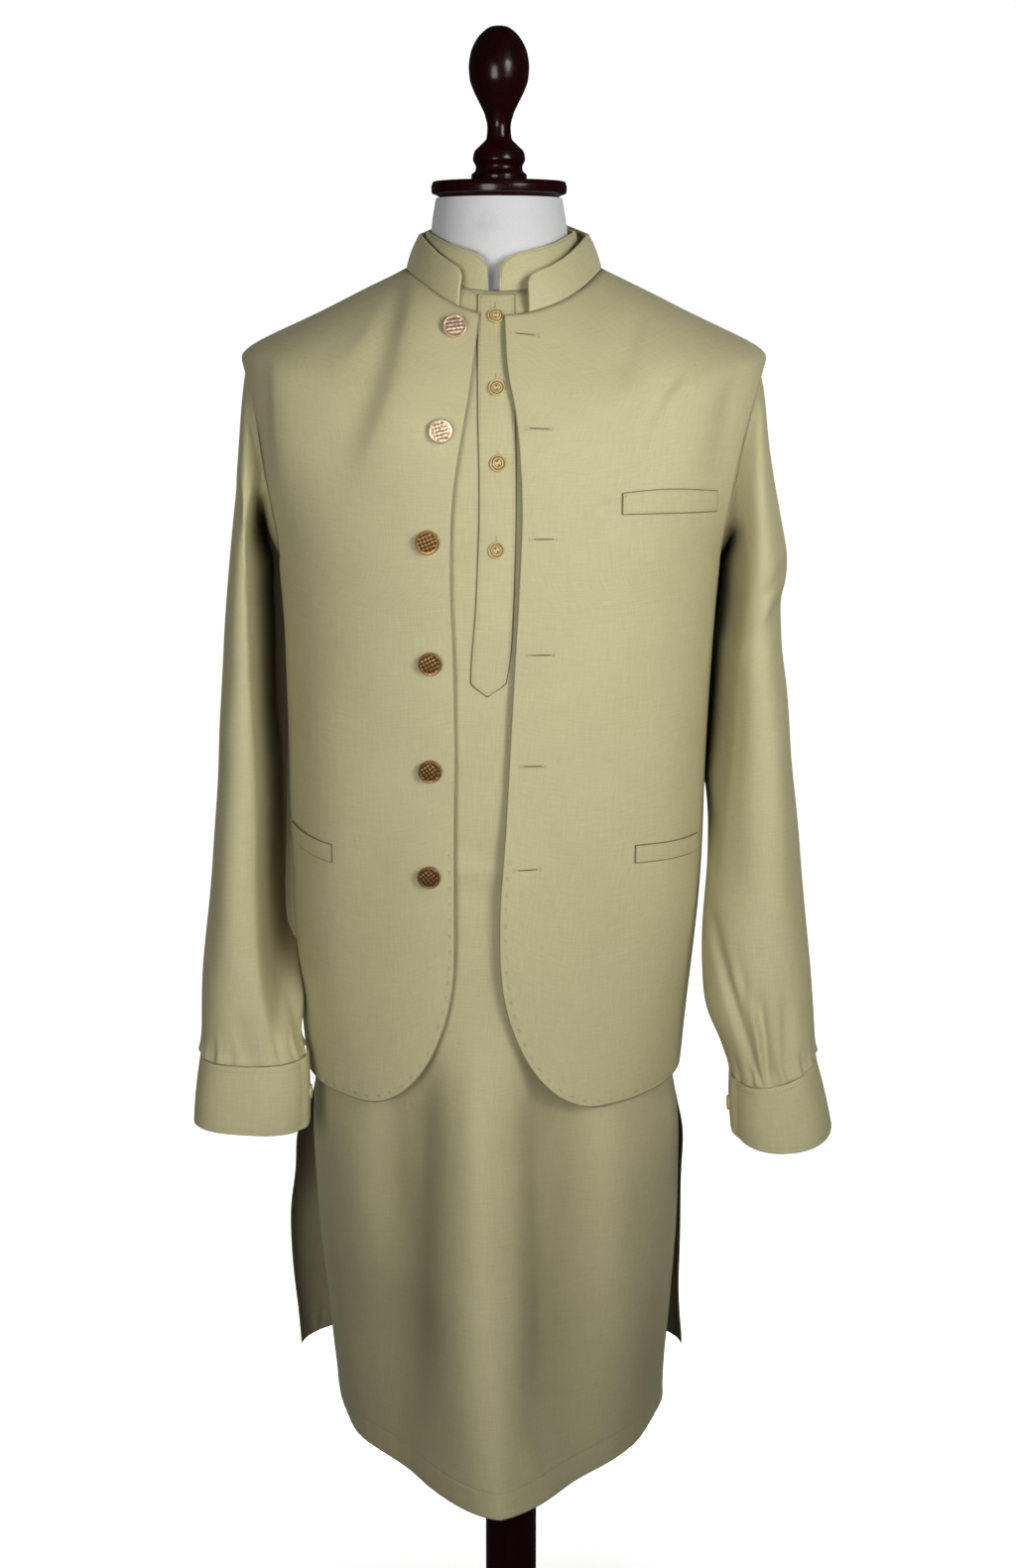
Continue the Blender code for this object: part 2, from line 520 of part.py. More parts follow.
def make_panel(name, faces, hole, side, seam, columns, thickness, parent):
    """A whole front or back, whose rows are rings of its face."""
    face = faces[side]
    edge_u, edge_v = side_edge(face, hole, seam, side)
    share = spread(np.linspace(-1, 1, columns + 1))
    u = edge_u[:, None] * share[None, :]
    v = np.repeat(edge_v[:, None], columns + 1, axis=1)
    made = face_wall(name, face, u, v, thickness, parent)
    made.location.y = SEAM_GAP * 0.7 * face.toward
    return made


def front_outline(side):
    """The front edge down to the turn of the lower corner, and the hem on to the side, as (x, z)."""
    edge = np.array(FRONT_EDGES[side])
    sign = -1 if side == "right" else 1
    edge_x = edge[-1, 1]
    width = CORNER_WIDTH[side]
    drop = CORNER_TOP_Z - WAISTCOAT_HEM_Z
    turn = np.linspace(0, math.pi / 2, 13)
    corner_x = edge_x + sign * width * (1 - np.cos(turn))
    corner_z = CORNER_TOP_Z - drop * np.sin(turn)
    down_turn = turn <= CORNER_TURN
    front = np.concatenate([edge[:, ::-1], np.stack([corner_x, corner_z], 1)[down_turn]])
    reach = 0.99 * WAISTCOAT_FRONT[-1][1] * sign + WAISTCOAT_FRONT[-1][2]
    hem = np.concatenate([np.stack([corner_x, corner_z], 1)[down_turn][-1:],
                          np.stack([corner_x, corner_z], 1)[~down_turn],
                          [[reach, WAISTCOAT_HEM_Z]]])
    return front, hem


def resample(points, shares):
    """Points at the given shares of a line's length."""
    steps = np.linalg.norm(np.diff(points, axis=0), axis=1)
    along = np.concatenate([[0.0], np.cumsum(steps)]) / steps.sum()
    return np.stack([smooth(along, points[:, k], shares) for k in range(points.shape[1])], axis=1)


def make_waistcoat_front(side, columns, parent):
    """A front as a patch between its front edge, neckline, side and rounded hem."""
    face = WAISTCOAT["front"]
    sign = -1 if side == "right" else 1
    side_u, side_v = side_edge(face, WAISTCOAT_ARMHOLE, WAISTCOAT_SEAM, "front")
    side_u = side_u * sign
    drop = (side_v[0] - side_v) / (side_v[0] - side_v[-1])
    front, hem = front_outline(side)
    front = resample(front, drop)
    front_u, front_v = face.locate(front[:, 0], front[:, 1])
    front_v[0] = side_v[0]
    across = spread(np.linspace(0, 1, columns + 1))
    hem = resample(hem, across)
    hem_u, hem_v = face.locate(hem[:, 0], hem[:, 1])
    hem_u[-1], hem_v[-1] = side_u[-1], side_v[-1]
    hem_u[0], hem_v[0] = front_u[-1], front_v[-1]
    r = across[None, :]
    s = drop[:, None]
    top_u = front_u[0] + (side_u[0] - front_u[0]) * r
    top_v = np.full_like(top_u, side_v[0])

    def patch(top, bottom, first, last):
        ruled = (1 - s) * top + s * bottom[None, :] + (1 - r) * first[:, None] + r * last[:, None]
        corners = ((1 - s) * ((1 - r) * top[0, 0] + r * top[0, -1])
                   + s * ((1 - r) * bottom[0] + r * bottom[-1]))
        return ruled - corners

    u = patch(top_u, hem_u, front_u, side_u)
    v = patch(top_v, hem_v, front_v, side_v)
    made = face_wall(f"waistcoat_front_{side}", face, u, v, WAISTCOAT_WALL, parent)
    made.location.y = -SEAM_GAP * 0.7
    return made


def tube_ring(row, turns):
    """A ring of a sleeve or cuff. turns is 0 at the outer side and a quarter turn at the front."""
    outer_x, outer_z, inner_x, inner_z, mid_y, depth, power, drop = row
    c = np.sign(np.cos(turns)) * np.abs(np.cos(turns)) ** (2 / power)
    s = np.sign(np.sin(turns)) * np.abs(np.sin(turns)) ** (2 / power)
    x = (outer_x + inner_x) / 2 + (outer_x - inner_x) / 2 * c
    z = (outer_z + inner_z) / 2 + (outer_z - inner_z) / 2 * c - drop * s
    return np.stack([x, mid_y - depth * s, z], axis=1)


def grid_normals(grid):
    """Outward normals of a tube's grid whose rings run from the shoulder down."""
    around = np.roll(grid, -1, axis=1) - np.roll(grid, 1, axis=1)
    along = np.gradient(grid, axis=0)
    normals = unit(np.cross(around, along))
    middle = grid.mean(axis=1, keepdims=True)
    flip = np.sign(((grid - middle) * normals).sum(axis=(1, 2)))
    return normals * flip[:, None, None]


def sleeve_grid(side):
    sign = 1 if side == "left" else -1
    steps = 2 * ARMHOLE_STEPS
    turns = np.arange(steps) * math.pi / ARMHOLE_STEPS
    first = np.zeros((steps, 3))
    for k, turn in enumerate(turns):
        half = "front" if turn <= math.pi else "back"
        hole_turn = turn if turn <= math.pi else 2 * math.pi - turn
        u, v = armhole(KURTA_ARMHOLE, np.array([hole_turn]), half)
        first[k] = KURTA[half].point(u * sign, v)[0]
    first[:, 0] += sign * 2 * SEAM_GAP
    rows = np.array(SLEEVES[side])
    places = np.linspace(0, len(rows) - 1, SLEEVE_RINGS)
    table = [smooth(np.arange(len(rows)), column, places) for column in rows.T]
    return np.stack([first] + [tube_ring(row, turns) for row in np.transpose(table)])


def make_sleeve(side, parent):
    """A sleeve in three lengths that meet end to end, so that each stays an open tube."""
    grid = sleeve_grid(side)
    normals = grid_normals(grid)
    normals[0, :, 0] = 0.0
    inner = grid - unit(normals) * KURTA_WALL
    for ending, first, last in SLEEVE_LENGTHS:
        outer_part = grid[first:last + 1].copy()
        inner_part = inner[first:last + 1].copy()
        if first:
            outer_part[0, :, 2] -= 2 * SEAM_GAP
            inner_part[0, :, 2] -= 2 * SEAM_GAP
        wall(f"kurta_sleeve_{side}{ending}", outer_part, inner_part, "khaki", parent, closed=True)


def cuff_ring(side, share, turns):
    """A ring of a cuff, from its seam at 0 to its open end at 1."""
    sign = 1 if side == "left" else -1
    drop = 2 * SEAM_GAP
    proud = sign * CUFF_PROUD
    seam = np.array(SLEEVES[side][-1]) + [proud, -drop, -proud, -drop, 0, CUFF_PROUD, 0, 0]
    return tube_ring(seam + (np.array(CUFF_ENDS[side]) - seam) * share, turns)


def make_cuff(side, parent):
    turns = np.arange(2 * ARMHOLE_STEPS) * math.pi / ARMHOLE_STEPS
    grid = np.stack([cuff_ring(side, share, turns) for share in (0.0, 0.5, 1.0)])
    inner = grid - grid_normals(grid) * CUFF_WALL
    return wall(f"kurta_cuff_{side}", grid, inner, "khaki", parent, closed=True)


def neck_point(faces, w):
    """A place on the neckline. w is 0 at the back, 1 and -1 at the sides and 2 and -2 at the front."""
    top = faces["front"].rows[0, 0]
    w = np.asarray(w, float)
    points = np.zeros((len(w), 3))
    behind = np.abs(w) <= 1
    if behind.any():
        points[behind] = faces["back"].plain(w[behind], np.full(behind.sum(), top))
    if (~behind).any():
        u = np.sign(w[~behind]) * (2 - np.abs(w[~behind]))
        points[~behind] = faces["front"].plain(u, np.full((~behind).sum(), top))
    return points


def make_collar(name, faces, size, thickness, parent):
    """A stand collar round the neckline from one front end to the other, with rounded ends."""
    front = faces["front"]
    span = np.linspace(-1, 1, 401)
    line = front.plain(span, np.full(len(span), front.rows[0, 0]))
    first, last = np.interp(size["ends"], line[:, 0], span)
    w = np.linspace(-2 - first, 2 - last, COLLAR_COLUMNS + 1)
    base = neck_point(faces, w)
    ahead = neck_point(faces, w + 0.01) - neck_point(faces, w - 0.01)
    out = unit(np.stack([ahead[:, 1], -ahead[:, 0], np.zeros(len(w))], axis=1))
    centre = base.mean(axis=0)
    out *= np.sign(((base - centre) * out).sum(axis=1))[:, None]
    sideways = np.abs(out[:, 0]) ** 2
    lean = size["lean_middle"] + (size["lean_side"] - size["lean_middle"]) * sideways
    rise = np.stack([-out[:, 0] * np.sin(lean), -out[:, 1] * np.sin(lean), np.cos(lean)], axis=1)
    steps = np.linalg.norm(np.diff(base, axis=0), axis=1)
    along = np.concatenate([[0.0], np.cumsum(steps)])
    to_end = np.minimum(along, along[-1] - along)
    near = np.clip(1 - to_end / size["round"], 0, 1)
    height = size["end_height"] + (size["height"] - size["end_height"]) * np.sqrt(1 - near**2)
    shares = np.array([0.0, 0.5, 1.0])
    outer = base[None] + rise[None] * (height[None, :, None] * shares[:, None, None] + 2 * SEAM_GAP)
    face_out = unit(out * np.cos(lean)[:, None] + np.array([0, 0, 1.0]) * np.sin(lean)[:, None])
    inner = outer - face_out[None] * thickness
    return wall(name, outer, inner, "khaki", parent)


def make_patch(name, face, x, z, thickness, parent):
    """A flat piece laid on a face, over a grid of places seen from the front."""
    u, v = face.locate(x.ravel(), z.ravel())
    lift = thickness + 1.5 * SEAM_GAP
    made = face_wall(name, face, u.reshape(x.shape), v.reshape(x.shape), thickness, parent, lift)
    made.location.y = -SEAM_GAP
    return made


def make_welt(name, place, parent):
    inner_x, outer_x, inner_z, outer_z, height = place
    across = np.linspace(0, 1, 10)
    x = inner_x + (outer_x - inner_x) * across
    top = inner_z + (outer_z - inner_z) * across**1.5
    grid_x = np.repeat(x[None, :], 3, axis=0)
    grid_z = top[None, :] - height * np.array([0.0, 0.5, 1.0])[:, None]
    return make_patch(name, WAISTCOAT["front"], grid_x, grid_z, WELT_WALL, parent)


def make_placket(parent):
    rows = np.array(PLACKET)
    z = np.concatenate([np.linspace(rows[0, 0], rows[-2, 0], 17), rows[-1:, 0]])
    left = smooth(rows[:, 0], rows[:, 1], z)
    right = smooth(rows[:, 0], rows[:, 2], z)
    share = np.linspace(0, 1, 5)
    grid_x = left[:, None] + (right - left)[:, None] * share[None, :]
    grid_z = np.repeat(z[:, None], len(share), axis=1)
    return make_patch("kurta_placket", KURTA["front"], grid_x, grid_z, PLACKET_WALL, parent)


def turned(name, profile, sides, slot, parent=None):
    """A turned solid about its own Z axis, from (radius, height) pairs that start and end on the axis."""
    points = [(0.0, 0.0, profile[0][1])]
    for radius, height in profile[1:-1]:
        for k in range(sides):
            angle = 2 * math.pi * k / sides
            points.append((radius * math.cos(angle), radius * math.sin(angle), height))
    points.append((0.0, 0.0, profile[-1][1]))
    last = len(points) - 1
    rings = len(profile) - 2
    faces = []
    for k in range(sides):
        after = (k + 1) % sides
        faces.append((0, 1 + after, 1 + k))
        top = 1 + (rings - 1) * sides
        faces.append((last, top + k, top + after))
        for ring in range(rings - 1):
            low = 1 + ring * sides
            high = low + sides
            faces.append((low + k, low + after, high + after, high + k))
    return make_object(name, points, faces, slot, parent)


def sit_on(made, point, normal, lift):
    """Places a turned piece with its axis along the cloth's normal."""
    normal = Vector(normal)
    made.rotation_mode = "QUATERNION"
    made.rotation_quaternion = normal.to_track_quat("Z", "Y")
    made.location = Vector(point) + normal * lift
    return made


def make_buttons(parent):
    on_placket = PLACKET_WALL + 3.5 * SEAM_GAP
    rows = (
        ("waistcoat_button", WAISTCOAT["front"], WAISTCOAT_BUTTONS, SHANK_BUTTON, "bronze", 2 * SEAM_GAP),
        ("kurta_button", KURTA["front"], KURTA_BUTTONS, SHIRT_BUTTON, "horn", on_placket),
    )
    for name, face, places, profile, slot, lift in rows:
        for k, (x, z) in enumerate(places):
            u, v = face.locate([x], [z])
            made = turned(f"{name}_{k + 1}", profile, BUTTON_SIDES, slot, parent)
            sit_on(made, face.point(u, v)[0], face.normal(u, v)[0], lift)
    for side, sign in (("left", 1), ("right", -1)):
        place = cuff_ring(side, CUFF_BUTTON_SHARE, np.array([math.pi]))[0]
        made = turned(f"cuff_button_{side}", SHIRT_BUTTON, BUTTON_SIDES, "horn", parent)
        sit_on(made, place, (-sign, 0.0, 0.0), 2 * SEAM_GAP)


def make_form(parent):
    sides = 28
    turns = np.arange(sides) * 2 * math.pi / sides
    rings = []
    for z, half, shift, front_y, back_y, power in FORM:
        c = np.cos(turns)
        s = np.sin(turns)
        x = shift + half * np.sign(c) * np.abs(c) ** (2 / power)
        depth = np.where(s < 0, -front_y, back_y)
        y = depth * np.sign(s) * np.abs(s) ** (2 / power)
        rings.append(np.stack([x, y, np.full(sides, z)], axis=1))
    points = np.concatenate(rings)
    faces = [tuple(range(sides)), tuple(range(len(points) - sides, len(points)))]
    for i in range(len(rings) - 1):
        for j in range(sides):
            after = (j + 1) % sides
            faces.append((i * sides + j, i * sides + after, (i + 1) * sides + after, (i + 1) * sides + j))
    return make_object("form", points, faces, "canvas", parent)


def make_stand(parent):
    """The base and pole stand on the origin. The cap and finial stand on the form's neck."""
    neck_x = FORM[0][2]
    cap = turned("neck_cap", CAP_PROFILE, 24, "mahogany", parent)
    cap.location = (neck_x, 0.0, NECK_TOP_Z + SEAM_GAP)
    finial = turned("finial", FINIAL_PROFILE, 16, "mahogany", parent)
    finial.location = (neck_x, 0.0, NECK_TOP_Z + CAP_HEIGHT + 2 * SEAM_GAP)
    turned("base", BASE_PROFILE, 28, "mahogany")
    turned("pole", POLE_PROFILE, 20, "mahogany")


def main():
    for leftover in list(bpy.data.objects):
        bpy.data.objects.remove(leftover, do_unlink=True)
    axis = bpy.data.objects.new("garment_axis", None)
    axis.location = (AXIS_X, 0.0, 0.0)
    bpy.context.scene.collection.objects.link(axis)
    make_stand(axis)
    make_form(axis)
    make_panel("kurta_front", KURTA, KURTA_ARMHOLE, "front", KURTA_SEAM, 20, KURTA_WALL, axis)
    make_panel("kurta_back", KURTA, KURTA_ARMHOLE, "back", KURTA_SEAM, 20, KURTA_WALL, axis)
    for side in ("left", "right"):
        make_sleeve(side, axis)
        make_cuff(side, axis)
        make_waistcoat_front(side, 11, axis)
    make_panel("waistcoat_back", WAISTCOAT, WAISTCOAT_ARMHOLE, "back", WAISTCOAT_SEAM, 18,
               WAISTCOAT_WALL, axis)
    make_collar("kurta_collar", KURTA, KURTA_COLLAR, KURTA_WALL, axis)
    make_collar("waistcoat_collar", WAISTCOAT, WAISTCOAT_COLLAR, WAISTCOAT_WALL, axis)
    make_placket(axis)
    for name, place in WELTS.items():
        make_welt(name, place, axis)
    make_buttons(axis)


main()
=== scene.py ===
"""Looks of a long kurta and an open waistcoat on a dress form: cloth, seams, trim, materials, light.

Metres, +Z up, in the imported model's frame. The faces and tables are the solids' own, read more finely here.
"""
import math

import bpy
import numpy as np
from mathutils import Matrix, Vector
from mathutils.bvhtree import BVHTree
from mathutils.kdtree import KDTree

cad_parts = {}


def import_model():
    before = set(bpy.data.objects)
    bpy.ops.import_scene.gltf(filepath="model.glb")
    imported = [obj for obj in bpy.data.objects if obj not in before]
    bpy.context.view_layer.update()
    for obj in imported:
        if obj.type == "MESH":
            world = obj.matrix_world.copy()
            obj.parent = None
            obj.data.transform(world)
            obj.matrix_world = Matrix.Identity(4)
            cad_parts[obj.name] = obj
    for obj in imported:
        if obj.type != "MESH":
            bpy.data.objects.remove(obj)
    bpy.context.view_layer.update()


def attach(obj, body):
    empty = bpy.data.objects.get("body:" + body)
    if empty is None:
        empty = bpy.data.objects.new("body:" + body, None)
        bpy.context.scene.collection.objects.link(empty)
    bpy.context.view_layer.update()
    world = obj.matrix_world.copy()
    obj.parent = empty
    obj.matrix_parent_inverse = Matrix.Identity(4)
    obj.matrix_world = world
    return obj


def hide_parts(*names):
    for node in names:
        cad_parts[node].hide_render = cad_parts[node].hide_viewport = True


# Driving sizes
AXIS_X = -0.012          # the form stands this far beside the pole's axis
SEAM_GAP = 0.0003        # between pieces that are sewn or laid together
SEAM_SHARE = 0.7         # the part of it that each half stands off at the side seams
KURTA_WALL = 0.0014
WAISTCOAT_WALL = 0.0026
CUFF_WALL = 0.0024
HEM_Z = 0.389            # kurta hem
SLIT_Z = 0.700           # top of the kurta's side slits
WAISTCOAT_HEM_Z = 0.7565
QUARTER_STEPS = 64       # samples along a quarter of a ring
SEARCH_STEPS = 24        # rounds that find the place seen at a given x and z
SEARCH_PACE = 0.8

# Faces. Each row is a ring round a garment, whose front and back share the columns at the side:
# (side_z, half_width, shift_x, side_y, roundness, front_mid_y, front_mid_z, back_mid_y, back_mid_z)
KURTA_RINGS = [
    (1.4750, 0.0700, 0.0030, 0.003, 2.00, -0.0800, 1.4545, 0.0640, 1.4900),
    (1.4568, 0.1110, 0.0040, 0.003, 2.00, -0.0985, 1.4230, 0.0840, 1.4600),
    (1.4362, 0.1550, 0.0050, 0.003, 2.00, -0.1115, 1.4000, 0.0980, 1.4310),
    (1.4172, 0.1950, 0.0055, 0.002, 2.00, -0.1215, 1.3780, 0.1080, 1.4030),
    (1.4025, 0.2190, 0.0055, 0.001, 2.05, -0.1288, 1.3560, 0.1140, 1.3810),
    (1.3850, 0.2235, 0.0055, 0.000, 2.10, -0.1330, 1.3400, 0.1180, 1.3680),
    (1.3600, 0.2225, 0.0050, 0.000, 2.15, -0.1357, 1.3280, 0.1230, 1.3450),
    (1.3000, 0.2125, 0.0030, 0.000, 2.20, -0.1402, 1.2850, 0.1290, 1.2950),
    (1.2200, 0.1885, 0.0020, 0.000, 2.30, -0.1418, 1.2150, 0.1270, 1.2200),
    (1.1000, 0.1820, 0.0000, 0.000, 2.30, -0.1424, 1.1000, 0.1170, 1.1000),
    (0.9700, 0.1785, -0.0010, 0.000, 2.30, -0.1432, 0.9700, 0.1225, 0.9700),
    (0.8800, 0.1748, -0.0030, 0.000, 2.25, -0.1462, 0.8800, 0.1340, 0.8800),
    (0.8000, 0.1705, -0.0045, 0.002, 2.20, -0.1500, 0.8000, 0.1420, 0.8000),
    (0.7500, 0.1665, -0.0045, 0.004, 2.15, -0.1540, 0.7500, 0.1480, 0.7500),
]
# From the slits down each half has its own: (side_z, half_width, shift_x, side_y, mid_y, mid_z, roundness)
KURTA_SKIRT = {
    "front": [
        (0.7000, 0.1735, -0.0030, 0.010, -0.1620, 0.7000, 2.00),
        (0.6150, 0.1740, -0.0015, 0.018, -0.1700, 0.6150, 1.85),
        (0.5540, 0.1722, -0.0006, 0.022, -0.1780, 0.5540, 1.70),
        (0.4800, 0.1664, 0.0000, 0.022, -0.1880, 0.4800, 1.50),
        (0.4200, 0.1610, 0.0010, 0.021, -0.1960, 0.4200, 1.38),
        (HEM_Z, 0.1598, 0.0025, 0.020, -0.2010, HEM_Z, 1.35),
    ],
    "back": [
        (0.7000, 0.1735, -0.0030, 0.010, 0.1600, 0.7000, 2.10),
        (0.6700, 0.1870, -0.0085, 0.028, 0.1655, 0.6700, 2.07),
        (0.6150, 0.1900, -0.0100, 0.060, 0.1760, 0.6150, 2.00),
        (0.5540, 0.1965, -0.0135, 0.090, 0.1860, 0.5540, 1.95),
        (0.4800, 0.1970, -0.0135, 0.106, 0.1970, 0.4800, 1.90),
        (0.4200, 0.1972, -0.0100, 0.120, 0.2070, 0.4200, 1.90),
        (HEM_Z, 0.1975, -0.0080, 0.125, 0.2120, HEM_Z, 1.90),
    ],
}
WAISTCOAT_RINGS = [
    (1.4745, 0.0850, 0.0055, 0.003, 2.00, -0.0985, 1.4360, 0.0740, 1.4900),
    (1.4510, 0.1340, 0.0060, 0.003, 2.00, -0.1130, 1.4120, 0.0960, 1.4620),
    (1.4250, 0.1870, 0.0055, 0.003, 2.00, -0.1262, 1.3860, 0.1130, 1.4290),
    (1.4100, 0.2240, 0.0055, 0.002, 2.00, -0.1345, 1.3640, 0.1220, 1.4020),
    (1.3990, 0.2310, 0.0055, 0.000, 2.10, -0.1385, 1.3500, 0.1260, 1.3850),
    (1.3600, 0.2290, 0.0050, 0.000, 2.15, -0.1430, 1.3300, 0.1310, 1.3520),
    (1.3000, 0.2190, 0.0030, 0.000, 2.20, -0.1482, 1.2850, 0.1370, 1.2980),
    (1.2200, 0.1960, 0.0020, 0.000, 2.30, -0.1500, 1.2150, 0.1350, 1.2200),
    (1.1000, 0.1900, 0.0000, 0.000, 2.30, -0.1505, 1.1000, 0.1250, 1.1000),
    (0.9700, 0.1870, -0.0010, 0.000, 2.30, -0.1518, 0.9700, 0.1310, 0.9700),
    (0.8800, 0.1830, -0.0030, 0.000, 2.25, -0.1550, 0.8800, 0.1430, 0.8800),
    (0.8000, 0.1790, -0.0045, 0.000, 2.20, -0.1590, 0.8000, 0.1510, 0.8000),
    (WAISTCOAT_HEM_Z, 0.1755, -0.0045, 0.000, 2.20, -0.1620, WAISTCOAT_HEM_Z, 0.1560, WAISTCOAT_HEM_Z),
]

# Soft folds of the skirt: (high_u, low_u, high_z, low_z, half_width_u, depth), depth outward
KURTA_FOLDS = {
    "front": (
        (-0.36, -0.46, 0.74, 0.30, 0.18, -0.0045),
        (-0.70, -0.74, 0.70, 0.30, 0.18, 0.0050),
        (0.30, 0.34, 0.72, 0.30, 0.18, -0.0060),
        (0.62, 0.66, 0.70, 0.30, 0.20, 0.0040),
    ),
    "back": (
        (-0.50, -0.45, 0.72, 0.30, 0.22, -0.0080),
        (0.02, 0.05, 0.70, 0.30, 0.20, 0.0080),
        (0.52, 0.50, 0.70, 0.30, 0.22, -0.0080),
    ),
}

# Armholes on the side of a face: (high_z, low_z, front_reach_u, back_reach_u)
KURTA_ARMHOLE = (1.4010, 1.2320, 0.170, 0.170)
WAISTCOAT_ARMHOLE = (1.4030, 1.2180, 0.225, 0.215)

# Sleeves from the armhole down, one row a ring:
# (outer_x, outer_z, inner_x, inner_z, mid_y, half_depth, roundness, front_drop)
SLEEVES = {
    "left": [
        (0.2290, 1.3900, 0.1960, 1.2310, 0.000, 0.0480, 2.0, 0.000),
        (0.2335, 1.3700, 0.2020, 1.2250, -0.001, 0.0560, 2.0, 0.000),
        (0.2378, 1.3300, 0.2050, 1.2130, -0.002, 0.0660, 2.0, 0.000),
        (0.2432, 1.2950, 0.2050, 1.1980, -0.003, 0.0740, 2.0, 0.000),
        (0.2495, 1.2600, 0.2035, 1.1830, -0.004, 0.0780, 2.1, 0.000),
        (0.2565, 1.2180, 0.2015, 1.1650, -0.006, 0.0790, 2.1, 0.000),
        (0.2520, 1.1880, 0.1995, 1.1480, -0.008, 0.0790, 2.1, 0.000),
        (0.2525, 1.1530, 0.1980, 1.1250, -0.011, 0.0780, 2.1, 0.000),
        (0.2574, 1.1080, 0.1955, 1.0900, -0.016, 0.0740, 2.1, 0.000),
        (0.2645, 1.0430, 0.1935, 1.0350, -0.026, 0.0690, 2.1, 0.000),
        (0.2720, 0.9680, 0.1905, 0.9650, -0.040, 0.0630, 2.1, 0.000),
        (0.2790, 0.8920, 0.1845, 0.8900, -0.058, 0.0570, 2.1, 0.002),
        (0.2830, 0.8450, 0.1860, 0.8350, -0.070, 0.0530, 2.1, 0.004),
        (0.2845, 0.8100, 0.1985, 0.8000, -0.079, 0.0480, 2.1, 0.006),
        (0.2840, 0.7880, 0.2130, 0.7680, -0.085, 0.0420, 2.2, 0.008),
    ],
    "right": [
        (-0.2205, 1.3900, -0.1920, 1.2310, 0.000, 0.0480, 2.0, 0.000),
        (-0.2230, 1.3700, -0.1985, 1.2250, -0.001, 0.0560, 2.0, 0.000),
        (-0.2270, 1.3320, -0.2010, 1.2130, -0.002, 0.0660, 2.0, 0.000),
        (-0.2300, 1.2980, -0.2010, 1.1980, -0.003, 0.0740, 2.0, 0.000),
        (-0.2335, 1.2630, -0.2000, 1.1830, -0.004, 0.0780, 2.1, 0.000),
        (-0.2360, 1.2280, -0.1990, 1.1650, -0.006, 0.0790, 2.1, 0.000),
        (-0.2385, 1.1930, -0.1975, 1.1480, -0.008, 0.0790, 2.1, 0.000),
        (-0.2410, 1.1580, -0.1965, 1.1250, -0.011, 0.0780, 2.1, 0.000),
        (-0.2445, 1.1080, -0.1950, 1.0900, -0.016, 0.0740, 2.1, 0.000),
        (-0.2490, 1.0430, -0.1935, 1.0350, -0.026, 0.0690, 2.1, 0.000),
        (-0.2560, 0.9680, -0.1930, 0.9650, -0.040, 0.0630, 2.1, 0.000),
        (-0.2630, 0.8920, -0.1910, 0.8900, -0.058, 0.0560, 2.2, 0.000),
        (-0.2660, 0.8450, -0.1860, 0.8450, -0.070, 0.0500, 2.3, 0.000),
        (-0.2670, 0.8100, -0.1800, 0.8100, -0.079, 0.0440, 2.4, 0.000),
        (-0.2665, 0.7880, -0.1750, 0.7860, -0.085, 0.0400, 2.5, 0.000),
    ],
}
# The cuffs' open ends, with the same columns. Their other ends follow the sleeves' last rings.
CUFF_ENDS = {
    "left": (0.3010, 0.7240, 0.2135, 0.7180, -0.095, 0.0430, 2.2, 0.011),
    "right": (-0.2740, 0.7285, -0.1735, 0.7225, -0.095, 0.0390, 2.6, 0.000),
}
CUFF_PROUD = 0.0010      # the cuffs stand out this far from the sleeves
CUFF_GAP = 0.0001        # from the sleeves' ends down to the cuffs
CUFF_BUTTON_SHARE = 0.55  # how far down a cuff its button sits

# Waistcoat fronts: the edge from the neck down as (z, x), then the round of the lower corner
FRONT_EDGES = {
    "right": ((1.4360, -0.0145), (1.3790, -0.0215), (1.3290, -0.0301), (1.2780, -0.0371),
              (1.2270, -0.0383), (1.1480, -0.0361), (1.0780, -0.0352), (0.9850, -0.0364)),
    "left": ((1.4360, 0.0055), (1.3930, 0.0079), (1.3600, 0.0145), (1.3200, 0.0186),
             (1.2770, 0.0203), (1.2270, 0.0184), (1.1210, 0.0127), (0.9980, 0.0060),
             (0.9300, 0.0015)),
}
CORNER_TOP_Z = 0.900
CORNER_WIDTH = {"right": 0.085, "left": 0.090}
CORNER_TURN = math.radians(50)   # where the grid passes from the front edge to the hem

# What is sewn on. Places are (x, z) on the front, from the garment's axis.
WAISTCOAT_BUTTONS = ((-0.0349, 1.4250), (-0.0459, 1.3430), (-0.0571, 1.2530),
                     (-0.0555, 1.1520), (-0.0563, 1.0600), (-0.0578, 0.9680))
KURTA_BUTTONS = ((-0.0011, 1.4345), (-0.0003, 1.3770), (0.0008, 1.3170), (-0.0005, 1.2460))
# (inner_x, outer_x, inner_z, outer_z, height)
WELTS = {
    "waistcoat_chest_welt": (0.1030, 0.1860, 1.2925, 1.2905, 0.0180),
    "waistcoat_pocket_welt_right": (-0.1430, -0.1830, 0.9875, 0.9930, 0.0170),
    "waistcoat_pocket_welt_left": (0.1180, 0.1760, 0.9900, 0.9860, 0.0165),
}
WELT_WALL = 0.0015
WELT_ARCH = 0.0028
# Placket outline down the kurta's front: (z, left_x, right_x)
PLACKET = [
    (1.4520, -0.0165, 0.0150),
    (1.3700, -0.0162, 0.0152),
    (1.2900, -0.0150, 0.0160),
    (1.2000, -0.0180, 0.0140),
    (1.1345, -0.0225, 0.0078),
    (1.1225, -0.0090, -0.0075),
]
PLACKET_POINT = (1.1310, 1.1275, 1.1245)     # heights of the rows down to its tip
PLACKET_WALL = 0.0012

